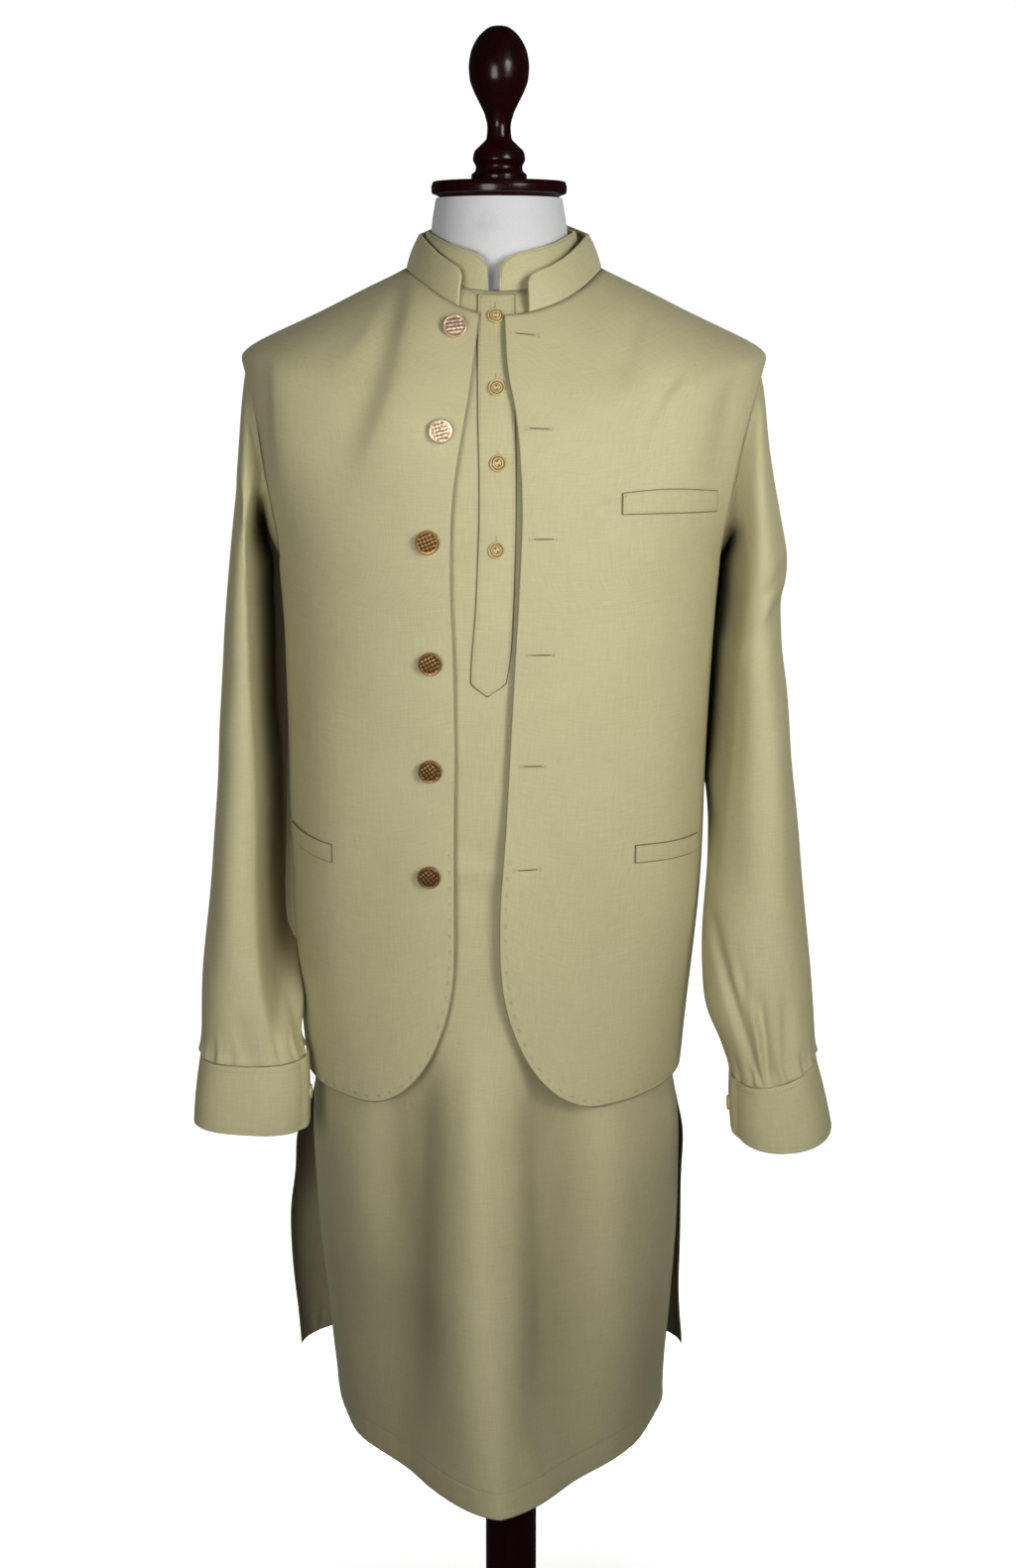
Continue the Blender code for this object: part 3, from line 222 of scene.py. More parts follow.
# Stand collars: x of the two front ends, heights, the reach of the rounded ends, and inward leans
KURTA_COLLAR = {
    "ends": (-0.0080, 0.0015), "height": 0.0310, "end_height": 0.0150, "round": 0.0200,
    "lean_side": math.radians(10), "lean_middle": math.radians(8),
}
WAISTCOAT_COLLAR = {
    "ends": (-0.0325, 0.0265), "height": 0.0315, "end_height": 0.0220, "round": 0.0120,
    "lean_side": math.radians(22), "lean_middle": math.radians(9),
}

NECK_TOP_Z = 1.5330
FORM_BOTTOM_Z = 0.745
POLE_RADIUS = 0.025
BASE_RADIUS = 0.190
BASE_HEIGHT = 0.070
CAP_HEIGHT = 0.0135
POLE_LOW = BASE_HEIGHT + SEAM_GAP
POLE_HIGH = FORM_BOTTOM_Z - SEAM_GAP
# Turned pieces: (radius, z) from the bottom up, starting and ending on the axis
CAP_PROFILE = (
    (0.0, 0.0), (0.0500, 0.0), (0.0535, 0.0020), (0.0580, 0.0040), (0.0585, 0.0090),
    (0.0565, CAP_HEIGHT), (0.0, CAP_HEIGHT),
)
FINIAL_PROFILE = (
    (0.0, 0.0), (0.0235, 0.0), (0.0240, 0.0050), (0.0205, 0.0090), (0.0200, 0.0120),
    (0.0225, 0.0180), (0.0215, 0.0240), (0.0160, 0.0300), (0.0108, 0.0360), (0.0101, 0.0450),
    (0.0123, 0.0550), (0.0170, 0.0650), (0.0220, 0.0750), (0.0250, 0.0840), (0.0258, 0.0940),
    (0.0245, 0.1040), (0.0210, 0.1130), (0.0140, 0.1220), (0.0060, 0.1268), (0.0, 0.1275),
)
BASE_PROFILE = (
    (0.0, 0.0), (BASE_RADIUS - 0.004, 0.0), (BASE_RADIUS, 0.004), (BASE_RADIUS, 0.018),
    (BASE_RADIUS - 0.010, 0.026), (0.120, 0.034), (0.060, 0.046), (0.046, 0.058),
    (0.044, BASE_HEIGHT), (0.0, BASE_HEIGHT),
)
POLE_PROFILE = (
    (0.0, POLE_LOW), (0.034, POLE_LOW), (0.034, POLE_LOW + 0.012), (0.026, POLE_LOW + 0.024),
    (POLE_RADIUS, POLE_LOW + 0.030), (POLE_RADIUS, POLE_HIGH - 0.050), (0.036, POLE_HIGH - 0.030),
    (0.062, POLE_HIGH - 0.012), (0.062, POLE_HIGH), (0.0, POLE_HIGH),
)
# The form: (z, half_width, shift_x, front_y, back_y, roundness)
FORM = [
    (NECK_TOP_Z, 0.0545, 0.0013, -0.0545, 0.0545, 2.0),
    (1.5100, 0.0585, 0.0013, -0.0590, 0.0580, 2.0),
    (1.4900, 0.0600, 0.0015, -0.0610, 0.0585, 2.0),
    (1.4730, 0.0640, 0.0025, -0.0620, 0.0585, 2.0),
    (1.4645, 0.0860, 0.0040, -0.0640, 0.0600, 1.7),
    (1.4470, 0.1260, 0.0047, -0.0710, 0.0700, 1.7),
    (1.4270, 0.1680, 0.0053, -0.0820, 0.0820, 1.8),
    (1.4085, 0.1940, 0.0055, -0.0940, 0.0920, 1.95),
    (1.3800, 0.2060, 0.0050, -0.1070, 0.1020, 2.05),
    (1.3400, 0.2040, 0.0040, -0.1190, 0.1120, 2.1),
    (1.3000, 0.1940, 0.0030, -0.1260, 0.1180, 2.1),
    (1.2200, 0.1780, 0.0020, -0.1310, 0.1190, 2.2),
    (1.1000, 0.1680, 0.0000, -0.1250, 0.1090, 2.2),
    (0.9700, 0.1660, -0.0010, -0.1230, 0.1120, 2.2),
    (0.8800, 0.1640, -0.0020, -0.1260, 0.1230, 2.2),
    (0.8000, 0.1600, -0.0030, -0.1270, 0.1280, 2.2),
    (FORM_BOTTOM_Z, 0.1550, -0.0030, -0.1230, 0.1280, 2.2),
]

# Looks
KHAKI_DARK = (0.400, 0.368, 0.205)
KHAKI_LIGHT = (0.610, 0.570, 0.335)
# painted shade in the stitch marks
KHAKI_SHADE = (0.200, 0.165, 0.080)
# painted shade: the dark line round the edges of the waistcoat, welts and placket, and the depth of valleys
# and troughs
KHAKI_PAINTED_SHADE = (0.085, 0.055, 0.018)
PAINTED_RIM_SHADE_WIDTH = 0.0014       # the painted shade line round a piece's edge
TWILL_PITCH = 0.00105
THREAD_PITCH = 0.00052
LOOKS = {}
FLOOR_COLOR = (0.80, 0.80, 0.80)
FLOOR_GLOW = 0.35        # near the stand, rising to 1 at the fade's radius
FLOOR_FADE = 0.62
DOME_RADIUS = 14.0
DOME_SIDES = 64
DOME_RINGS = 16
WORLD_STRENGTH = 0.03
# Lights: (name, place, aim, size, spread in degrees, watts, colour)
LIGHTS = (
    ("key", (1.05, -1.50, 1.80), (0.05, -0.10, 1.30), 0.75, 75.0, 3.4, (1.0, 0.985, 0.95)),
    ("key_low", (0.70, -1.70, 1.35), (0.0, -0.10, 1.30), 0.60, 90.0, 1.6, (1.0, 0.985, 0.95)),
    ("front", (-0.60, -1.90, 1.30), (0.0, -0.10, 1.10), 0.80, 180.0, 15.5, (1.0, 0.99, 0.97)),
    ("back_left", (1.50, 2.00, 1.90), (0.0, 0.0, 1.00), 1.40, 180.0, 30.0, (1.0, 1.0, 1.0)),
    ("back_right", (-1.40, 2.10, 1.90), (0.0, 0.0, 1.00), 1.40, 180.0, 24.0, (1.0, 1.0, 1.0)),
)
CAMERA_PLACE = (-0.003, -1.90, 1.45)
CAMERA_PITCH = math.radians(12.9)
CAMERA_LENS = 2143 / 1581 * 36.0

# Fine grids
HEM_STOPS = (0.0004, 0.0011, 0.0022, 0.0040, 0.0065)
SIDE_STOPS = (0.0018, 0.0045, 0.009, 0.018)
PANEL_COLUMNS = 56       # from the middle of a panel to its side
FORM_SIDES = 128
SLEEVE_COLUMNS = 112
SLEEVE_ROWS = 190
CUFF_COLUMNS = 180
CUFF_LAP = 0.55          # how far round a cuff's end laps over its start
CUFF_STEP = 0.0032
CUFF_ROWS = 26
COLLAR_COLUMNS = 180
COLLAR_ROWS = 16
FORM_ROWS = 150
HOLE_POINTS = 150
EDGE_STEP = 0.00025      # between the samples of an edge that distances are read from
# Rows of a panel down the shoulder seam, the armhole and the side seam
KURTA_ROWS = (12, 30, 120)
FRONT_ROWS = (14, 40, 84)
BACK_ROWS = (14, 36, 76)

# Soft details of the cloth
# Slow unevenness: (pitch, seed)
CLOTH_WAVES = {
    "kurta_front": (0.16, 3.0),
    "kurta_back": (0.16, 5.0),
    "waistcoat_right": (0.15, 1.0),
    "waistcoat_left": (0.15, 2.0),
    "waistcoat_back": (0.17, 4.0),
    "sleeve_left": (0.12, 7.0),
    "sleeve_right": (0.12, 5.0),
}
CLOTH_WAVE = 0.0012      # its depth
FRONT_WAVE = 0.0010      # and its depth in the waistcoat's fronts
GATHER_DEPTH = 0.0011
GATHER_MIDDLE = 0.006    # above the cuff, where the gathers are deepest
GATHER_REACH = 0.014
GATHER_COUNTS = (19, 31)  # wide and narrow gathers round a sleeve
GATHER_BULGE = 0.0017    # the sleeve stands out this far over its cuff
BULGE_MIDDLE = 0.003
BULGE_REACH = 0.005
SEAM_FADE = 0.05         # a sleeve's creases fade over this length to the armhole
CUFF_FADE = 0.0012       # and over this one to the cuff
HEM_PUCKER = 0.0005
PUCKER_MIDDLE = 0.016    # from the hem
PUCKER_REACH = 0.012
PUCKER_PITCH = 0.019
PUCKER_FINE_PITCH = 0.0113
PUCKER_DRIFT = 0.071
FRONT_PUCKER = 0.00022   # along the edges of the waistcoat's fronts
BACK_SEAM_DEPTH = 0.0012  # the seam down the middle of the waistcoat's back
BACK_SEAM_SHARE = 0.012  # its width as a share of half the back
COLLAR_BELLY = 0.0012    # how far a collar and a cuff are rounded out
CUFF_BELLY = 0.0010
NEAR_EDGE = 0.02         # how far from an edge its distance is read, at most
FAR_EDGE = 0.05
STITCH_REACH = 0.08
STITCH_FROM_HEM = 0.0250
STITCH_FROM_SLIT = 0.0090
WAISTCOAT_ROUND = 0.0014  # how far in the waistcoat's edges are rounded
PICKED_TOP_Z = 0.990     # the picked stitches run below this
EDGE_ROLL = {"left": (1.060, 0.800, 0.0050), "right": (1.040, 0.800, 0.0020)}   # (high_z, low_z, lift)
ROLL_FADE = 0.10
ROLL_REACH = 0.035       # from the front edge
ROLL_READ = 0.12

# Buttons: (radius, width of the rim, height of the dome, thickness)
WOVEN_BUTTON = (0.0100, 0.0016, 0.0008, 0.0030)
HORN_BUTTON = (0.0069, 0.0013, 0.0002, 0.0020)
BUTTON_RINGS = 34
BUTTON_SIDES = 96
RELIEF_DEPTH = 0.0007    # of the pattern worked into the face
FOOT_SHARE = 0.96        # width of the underside
# Horn button: grooves as (radius, width, depth), and two holes as (from the middle, radius, depth)
HORN_GROOVES = ((0.0050, 0.0005, 0.0007), (0.0031, 0.0004, 0.0006))
HORN_HOLES = (0.0015, 0.0010, 0.0012)
EDGE_ROUND = 0.0008
RIM_RISE = 0.0003
COPPER_BUTTONS = 2       # the top ones are lighter
WOVEN_LIFT = 0.0022      # from the cloth to the button's underside
HORN_LIFT = 0.0005
WOVEN_PITCH = 0.0032
WOVEN_RADIUS = 0.0083    # the strips end here
BUTTON_TILT = (0.0, 0.02, 0.08, 0.12, 0.14, 0.14)
BUTTONHOLES = ((0.0234, 1.4202, -0.10), (0.0348, 1.3451, -0.04), (0.0384, 1.2556, 0.00),
               (0.0363, 1.1590, 0.00), (0.0299, 1.0642, 0.00), (0.0259, 0.9750, 0.02))
# Buttonholes: (length, width, height of the thread over the cloth)
WAISTCOAT_HOLE = (0.0215, 0.0020, 0.00025)
KURTA_HOLE = (0.0040, 0.0010, 0.0002)
KURTA_HOLE_RISE = 0.0088  # from a button's middle up to its buttonhole's
PLACKET_STITCHES = ((-0.0180, 1.1779), (0.0120, 1.1779))
PLACKET_STITCH = (0.0024, 0.00028, 0.0001)   # (pitch, radius, height over the cloth)
# Thread of a buttonhole: (thinnest radius, how much thicker each wrap is, pitch of the wraps)
WRAPS = (0.00042, 0.00014, 0.0011)
BAR_WRAPS = (0.0006, 0.0001, 0.0008)
# The sleeves lie against the waistcoat's sides between these heights, and come no closer than this
SLEEVE_REST = {"left": (1.250, 0.985), "right": (1.250, 0.790)}
REST_REACH = 0.024
REST_GAP = 0.0012
# The front of a sleeve falls back beside the waistcoat from a share of its front half on:
# (share high up, share low down, lowest z)
SLEEVE_FALL = {"left": (0.64, 0.80, 0.94), "right": (0.50, 0.63, 0.80)}
FALL_BACK = 0.040        # how far behind its middle the fallen part lies
PAINTED_VALLEY_SHADE = 0.88       # how much painted shade darkens the cloth in the depth of a valley
SKIRT_PAINTED_SHADE = 0.42        # and the part of that painted shade that the skirt's troughs have
SKIRT_DEPTH = 0.020      # a trough as deep as this has all of that part

# Troughs and ridges, listed one by one, seen from the front: (x0, z0, x1, z1, bow, width, depth, bias)
WAISTCOAT_CREASES = {
    "right": (
        (-0.068, 1.460, -0.106, 1.310, 0.006, 0.030, 0.0070, 0.55),
        (-0.086, 1.460, -0.130, 1.320, 0.006, 0.018, -0.0030, 0.00),
        (-0.094, 1.454, -0.122, 1.396, 0.002, 0.013, 0.0030, 0.45),
        (-0.186, 1.395, -0.180, 1.290, 0.000, 0.017, 0.0034, 0.45),
        (-0.150, 1.150, -0.160, 0.830, 0.006, 0.030, 0.0028, 0.10),
        (-0.105, 1.020, -0.110, 0.800, -0.006, 0.030, -0.0016, 0.00),
    ),
    "left": (
        (0.120, 1.436, 0.106, 1.386, -0.002, 0.008, -0.0036, -0.30),
        (0.150, 1.388, 0.112, 1.322, -0.004, 0.011, -0.0044, -0.30),
        (0.085, 1.445, 0.150, 1.290, -0.008, 0.022, -0.0020, 0.00),
        (0.205, 1.390, 0.188, 1.290, -0.004, 0.013, -0.0030, 0.00),
        (0.150, 1.150, 0.160, 0.830, -0.006, 0.030, 0.0026, 0.10),
        (0.075, 1.000, 0.080, 0.800, 0.006, 0.030, -0.0016, 0.00),
    ),
    "back": (
        (-0.060, 1.430, -0.150, 1.290, 0.010, 0.020, -0.0062, 0.30),
        (0.060, 1.430, 0.140, 1.270, -0.010, 0.021, -0.0056, 0.30),
        (-0.110, 1.110, -0.090, 0.820, 0.008, 0.030, 0.0064, 0.10),
        (0.100, 1.130, 0.090, 0.820, -0.008, 0.030, 0.0060, -0.10),
        (-0.150, 1.090, -0.050, 1.060, 0.004, 0.014, -0.0040, 0.30),
        (0.150, 1.080, 0.060, 1.050, 0.004, 0.014, -0.0036, 0.30),
    ),
}
KURTA_CREASES = {
    "front": (
        (-0.060, 0.992, 0.030, 0.984, 0.001, 0.0055, -0.0018, 0.20),
        (-0.060, 0.974, 0.030, 0.970, -0.001, 0.0050, 0.0016, 0.00),
        (-0.060, 0.950, 0.030, 0.955, 0.001, 0.0060, -0.0012, 0.00),
        (-0.018, 0.800, -0.015, 0.380, 0.001, 0.028, 0.0120, 0.00),
        (-0.070, 0.790, -0.092, 0.450, -0.004, 0.038, -0.0210, -0.20),
        (0.036, 0.790, 0.054, 0.450, 0.003, 0.034, -0.0220, 0.20),
        (-0.101, 0.780, -0.104, 0.600, 0.000, 0.012, -0.0030, 0.00),
        (0.072, 0.780, 0.074, 0.600, 0.000, 0.012, -0.0028, 0.00),
        (0.104, 0.740, 0.112, 0.430, -0.004, 0.026, 0.0040, 0.00),
        (-0.124, 0.700, -0.126, 0.440, 0.004, 0.024, 0.0036, 0.00),
        (0.030, 0.470, 0.055, 0.395, 0.002, 0.010, -0.0012, 0.00),
    ),
    "back": (
        (-0.120, 0.720, -0.130, 0.430, 0.006, 0.026, -0.0090, 0.20),
        (0.110, 0.720, 0.125, 0.430, -0.006, 0.026, -0.0086, 0.20),
        (-0.030, 0.720, -0.025, 0.430, 0.006, 0.030, 0.0090, 0.00),
        (0.045, 0.640, 0.055, 0.410, 0.004, 0.018, -0.0048, 0.00),
    ),
}
SLEEVE_CREASES = {
    "left": (
        (0.2118, 0.8780, 0.2300, 0.7700, 0.002, 0.0060, -0.0034, 0.20),
        (0.2200, 0.8500, 0.2335, 0.7680, 0.001, 0.0052, 0.0040, 0.00),
        (0.2290, 0.8500, 0.2385, 0.7660, 0.001, 0.0040, -0.0064, 0.35),
        (0.2530, 0.8500, 0.2570, 0.7850, 0.000, 0.0060, -0.0030, 0.20),
        (0.1865, 0.9200, 0.2310, 0.7700, -0.002, 0.0046, -0.0052, 0.20),
        (0.2520, 1.2250, 0.2180, 1.1900, 0.004, 0.0110, -0.0036, 0.30),
        (0.2500, 1.1950, 0.2120, 1.1550, 0.004, 0.0110, -0.0030, 0.30),
        (0.2300, 1.1500, 0.2440, 0.9200, 0.006, 0.0190, 0.0034, 0.00),
        (0.2080, 1.1200, 0.2080, 0.9200, -0.004, 0.0140, -0.0034, 0.10),
        (0.2550, 1.0500, 0.2680, 0.8800, 0.002, 0.0120, -0.0018, 0.00),
    ),
    "right": (
        (-0.2280, 1.2200, -0.2380, 0.9000, -0.006, 0.0190, 0.0032, 0.00),
        (-0.2060, 1.1300, -0.2060, 0.8700, 0.004, 0.0140, -0.0034, 0.10),
        (-0.2440, 1.0500, -0.2540, 0.8400, -0.004, 0.0130, -0.0018, 0.00),
        (-0.2280, 1.2900, -0.2120, 1.2300, -0.002, 0.0110, -0.0026, 0.20),
        (-0.2280, 0.8300, -0.2230, 0.7800, 0.000, 0.0080, -0.0020, 0.10),
        (-0.1980, 0.8350, -0.1960, 0.7800, 0.000, 0.0060, -0.0018, 0.10),
    ),
}
SLEEVE_BACK_CREASES = {
    "left": (
        (0.2260, 1.2300, 0.2400, 0.9000, 0.006, 0.0200, 0.0036, 0.00),
        (0.2100, 1.1600, 0.2180, 0.8800, -0.004, 0.0150, -0.0034, 0.10),
        (0.2560, 1.0900, 0.2640, 0.8500, 0.002, 0.0140, -0.0024, 0.00),
        (0.2500, 0.8600, 0.2450, 0.7750, 0.000, 0.0070, -0.0036, 0.20),
        (0.2350, 0.8500, 0.2340, 0.7750, 0.000, 0.0060, 0.0024, 0.00),
    ),
    "right": (
        (-0.2260, 1.2300, -0.2360, 0.9000, -0.006, 0.0200, 0.0036, 0.00),
        (-0.2080, 1.1600, -0.2120, 0.8800, 0.004, 0.0150, -0.0034, 0.10),
        (-0.2480, 1.0600, -0.2520, 0.8400, 0.002, 0.0140, -0.0024, 0.00),
        (-0.2180, 0.8500, -0.2120, 0.7850, 0.000, 0.0070, -0.0036, 0.20),
        (-0.2380, 0.8450, -0.2360, 0.7850, 0.000, 0.0060, 0.0024, 0.00),
    ),
}


def smooth(stops, values, at):
    """Reads a curve through the stops at the places asked, with no overshoot between them."""
    stops = np.asarray(stops, float)
    values = np.asarray(values, float)
    order = np.argsort(stops)
    stops = stops[order]
    values = values[order]
    step = np.diff(stops)
    slope = np.diff(values) / step
    tangent = np.concatenate([slope[:1], np.zeros(len(slope) - 1), slope[-1:]])
    if len(slope) > 1:
        before, after = slope[:-1], slope[1:]
        even = before * after > 1e-12
        near = 2 * step[1:] + step[:-1]
        far = step[1:] + 2 * step[:-1]
        safe_before = np.where(even, before, 1.0)
        safe_after = np.where(even, after, 1.0)
        mean = (near + far) / (near / safe_before + far / safe_after)
        tangent[1:-1] = np.where(even, mean, 0.0)
    at = np.clip(at, stops[0], stops[-1])
    k = np.clip(np.searchsorted(stops, at) - 1, 0, len(step) - 1)
    t = (at - stops[k]) / step[k]
    return (
        values[k] * (2 * t**3 - 3 * t**2 + 1)
        + values[k + 1] * (3 * t**2 - 2 * t**3)
        + step[k] * tangent[k] * (t**3 - 2 * t**2 + t)
        + step[k] * tangent[k + 1] * (t**3 - t**2)
    )


def ease(t):
    t = np.clip(t, 0.0, 1.0)
    return t * t * (3 - 2 * t)


def unit(vectors):
    return vectors / np.maximum(np.linalg.norm(vectors, axis=-1, keepdims=True), 1e-12)


class Face:
    """The outer surface of one half of a garment.

    u runs from -1 to 1 across, and v is the height at the side.
    """

    def __init__(self, rings, side, loose=(), folds=(), partner=None):
        middle = 5 if side == "front" else 7
        rows = [(*row[:4], *row[middle:middle + 2], row[4]) for row in rings]
        self.rows = np.array(rows + list(loose))
        self.folds = folds
        self.partner = partner
        self.toward = np.sign(self.rows[-1, 4])

    def ring(self, v):
        """The columns at a height. Down to the slits, the side's columns are those of the other half."""
        columns = [smooth(self.rows[:, 0], self.rows[:, k], v) for k in range(1, 7)]
        if self.partner is not None:
            loose = self.rows[self.rows[:, 0] <= SLIT_Z]
            shared = self.partner.ring(v)
            for k in range(3):
                free = smooth(loose[:, 0], loose[:, k + 1], v)
                columns[k] = np.where(v >= SLIT_Z, shared[k], free)
        return columns

    def lengths(self, v):
        """The share of a quarter ring's length that each of its sampled angles has reached."""
        half, _, side_y, mid_y, _, power = self.ring(v)
        angle = np.linspace(0.0, math.pi / 2, QUARTER_STEPS + 1)
        x = half[:, None] * np.sin(angle) ** (2 / power[:, None])
        y = (mid_y - side_y)[:, None] * np.cos(angle) ** (2 / power[:, None])
        steps = np.hypot(np.diff(x, axis=1), np.diff(y, axis=1))
        total = np.concatenate([np.zeros((len(v), 1)), np.cumsum(steps, axis=1)], axis=1)
        return angle, total / total[:, -1:]

    def plain(self, u, v):
        half, shift, side_y, mid_y, mid_z, power = self.ring(v)
        angles, reached = self.lengths(v)
        angle = read_rows(reached, angles, np.abs(u))
        x = shift + np.sign(u) * half * np.abs(np.sin(angle)) ** (2 / power)
        y = side_y + (mid_y - side_y) * np.abs(np.cos(angle)) ** (2 / power)
        z = v + (mid_z - v) * np.cos(u * math.pi / 2) ** 2
        return np.stack([x, y, z], axis=-1)

    def grid(self, u, v):
        return self.plain(u.ravel(), v.ravel()).reshape(*u.shape, 3)

    def push(self, u, v):
        """How far the skirt's soft folds stand out."""
        out = np.zeros_like(u)
        for high_u, low_u, high_z, low_z, reach, depth in self.folds:
            along = (high_z - v) / (high_z - low_z)
            middle = high_u + (low_u - high_u) * np.clip(along, 0, 1)
            bell = np.exp(-(((u - middle) / reach) ** 2) * 2)
            out += depth * bell * ease(along * 1.6)
        return out

    def locate(self, x, z):
        """The u and v of the place that is seen at x and z from the front."""
        v = z.copy()
        u = np.zeros_like(x)
        for _ in range(SEARCH_STEPS):
            half, shift, _, _, mid_z, power = self.ring(v)
            share = np.clip(np.abs(x - shift) / half, 0, 1)
            turn = np.arcsin(share ** (power / 2))
            angles, reached = self.lengths(v)
            u = np.array([np.interp(t, angles, row) for t, row in zip(turn, reached)])
            v = v + (z - (v + (mid_z - v) * np.cos(u * math.pi / 2) ** 2)) * SEARCH_PACE
            v = np.clip(v, self.rows[-1, 0], self.rows[0, 0])
        return u * np.sign(x - shift), v


KURTA = {"front": Face(KURTA_RINGS, "front", KURTA_SKIRT["front"], KURTA_FOLDS["front"])}
KURTA["back"] = Face(KURTA_RINGS, "back", KURTA_SKIRT["back"], KURTA_FOLDS["back"], KURTA["front"])
WAISTCOAT = {side: Face(WAISTCOAT_RINGS, side) for side in ("front", "back")}


def armhole(hole, turns, side):
    """u and v round an armhole. turns is 0 at the shoulder and pi at the underarm."""
    high, low, front, back = hole
    reach = front if side == "front" else back
    v = (high + low) / 2 + (high - low) / 2 * np.cos(turns)
    return 1 - reach * np.sin(turns) ** 0.8, v


def spread(t):
    """Columns from the middle to the side, closer together where a ring turns the corner."""
    return t * (1.3 - 0.3 * np.abs(t))


def front_outline(side):
    """The front edge down to the turn of the lower corner, and the hem on to the side, as (x, z)."""
    edge = np.array(FRONT_EDGES[side])
    sign = -1 if side == "right" else 1
    turn = np.linspace(0, math.pi / 2, 13)
    corner = np.stack([edge[-1, 1] + sign * CORNER_WIDTH[side] * (1 - np.cos(turn)),
                       CORNER_TOP_Z - (CORNER_TOP_Z - WAISTCOAT_HEM_Z) * np.sin(turn)], 1)
    last = (turn <= CORNER_TURN).sum()
    _, half_width, shift = WAISTCOAT_RINGS[-1][:3]
    reach = 0.99 * half_width * sign + shift
    front = np.concatenate([edge[:, ::-1], corner[:last]])
    return front, np.concatenate([corner[last - 1:], [[reach, WAISTCOAT_HEM_Z]]])


def resample(points, shares):
    """Points at the given shares of a line's length."""
    steps = np.linalg.norm(np.diff(points, axis=0), axis=1)
    along = np.concatenate([[0.0], np.cumsum(steps)]) / steps.sum()
    return np.stack([smooth(along, points[:, k], shares) for k in range(points.shape[1])], axis=1)


def tube_ring(row, turns):
    """A ring of a sleeve or cuff. turns is 0 at the outer side and a quarter turn at the front."""
    outer_x, outer_z, inner_x, inner_z, mid_y, depth, power, drop = row
    c = np.sign(np.cos(turns)) * np.abs(np.cos(turns)) ** (2 / power)
    s = np.sign(np.sin(turns)) * np.abs(np.sin(turns)) ** (2 / power)
    x = (outer_x + inner_x) / 2 + (outer_x - inner_x) / 2 * c
    z = (outer_z + inner_z) / 2 + (outer_z - inner_z) / 2 * c - drop * s
    return np.stack([x, mid_y - depth * s, z], axis=1)


def grid_normals(grid):
    """Outward normals of a tube's grid whose rings run from the shoulder down."""
    around = np.roll(grid, -1, axis=1) - np.roll(grid, 1, axis=1)
    along = np.gradient(grid, axis=0)
    normals = unit(np.cross(around, along))
    middle = grid.mean(axis=1, keepdims=True)
    flip = np.sign(((grid - middle) * normals).sum(axis=(1, 2)))
    return normals * flip[:, None, None]


def cuff_ring(side, share, turns):
    """A ring of a cuff, from its seam at 0 to its open end at 1."""
    proud = CUFF_PROUD if side == "left" else -CUFF_PROUD
    seam = np.array(SLEEVES[side][-1]) + [proud, -CUFF_GAP, -proud, -CUFF_GAP, 0, CUFF_PROUD, 0, 0]
    return tube_ring(seam + (np.array(CUFF_ENDS[side]) - seam) * share, turns)


def neck_point(faces, w):
    """A place on the neckline. w is 0 at the back, 1 and -1 at the sides and 2 and -2 at the front."""
    top = np.full(len(w), faces["front"].rows[0, 0])
    behind = np.abs(w) <= 1
    ahead = ~behind
    points = np.zeros((len(w), 3))
    points[behind] = faces["back"].plain(w[behind], top[behind])
    points[ahead] = faces["front"].plain(np.sign(w[ahead]) * (2 - np.abs(w[ahead])), top[ahead])
    return points


def read_rows(stops, values, at):
    """Linear interpolation at each place asked, with a row of stops for each."""
    last = stops.shape[1] - 2
    k = np.clip((stops < at[:, None]).sum(axis=1) - 1, 0, last)
    rows = np.arange(len(at))
    low = stops[rows, k]
    t = np.clip((at - low) / np.maximum(stops[rows, k + 1] - low, 1e-12), 0, 1)
    return values[k] + (values[k + 1] - values[k]) * t


def soften(grid, rounds):
    """Evens a grid out down its columns, and keeps its first and last rows."""
    grid = grid.copy()
    for _ in range(rounds):
        grid[1:-1] += 0.25 * (grid[:-2] - 2 * grid[1:-1] + grid[2:])
    return grid


def surface_normals(grid):
    """Normals of a grid of points, from its own differences."""
    return unit(np.cross(np.gradient(grid, axis=1), np.gradient(grid, axis=0)))


def face_normals(grid, toward):
    """Normals of a panel's grid that point out to its side."""
    normals = surface_normals(grid)
    return normals * np.sign((normals[..., 1] * toward).sum())


def line_lengths(points):
    steps = np.linalg.norm(np.diff(points, axis=0), axis=1)
    return np.concatenate([[0.0], np.cumsum(steps)])


def edge_places(points, lines, reach):
    """How far each point lies from the nearest of some lines, and how far along it."""
    samples = []
    along = []
    for line in lines:
        total = line_lengths(line)
        at = np.arange(0, total[-1], EDGE_STEP)
        samples.append(np.stack([np.interp(at, total, line[:, k]) for k in range(3)], axis=1))
        along.append(at)
    samples = np.concatenate(samples)
    along = np.concatenate(along)
    tree = KDTree(len(samples))
    for k, sample in enumerate(samples):
        tree.insert(sample, k)
    tree.balance()
    flat = points.reshape(-1, 3)
    distance = np.empty(len(flat))
    place = np.empty(len(flat))
    for k, point in enumerate(flat):
        _, nearest, gap = tree.find(point)
        distance[k] = gap
        place[k] = along[nearest]
    shape = points.shape[:2]
    return np.minimum(distance, reach).reshape(shape), place.reshape(shape)


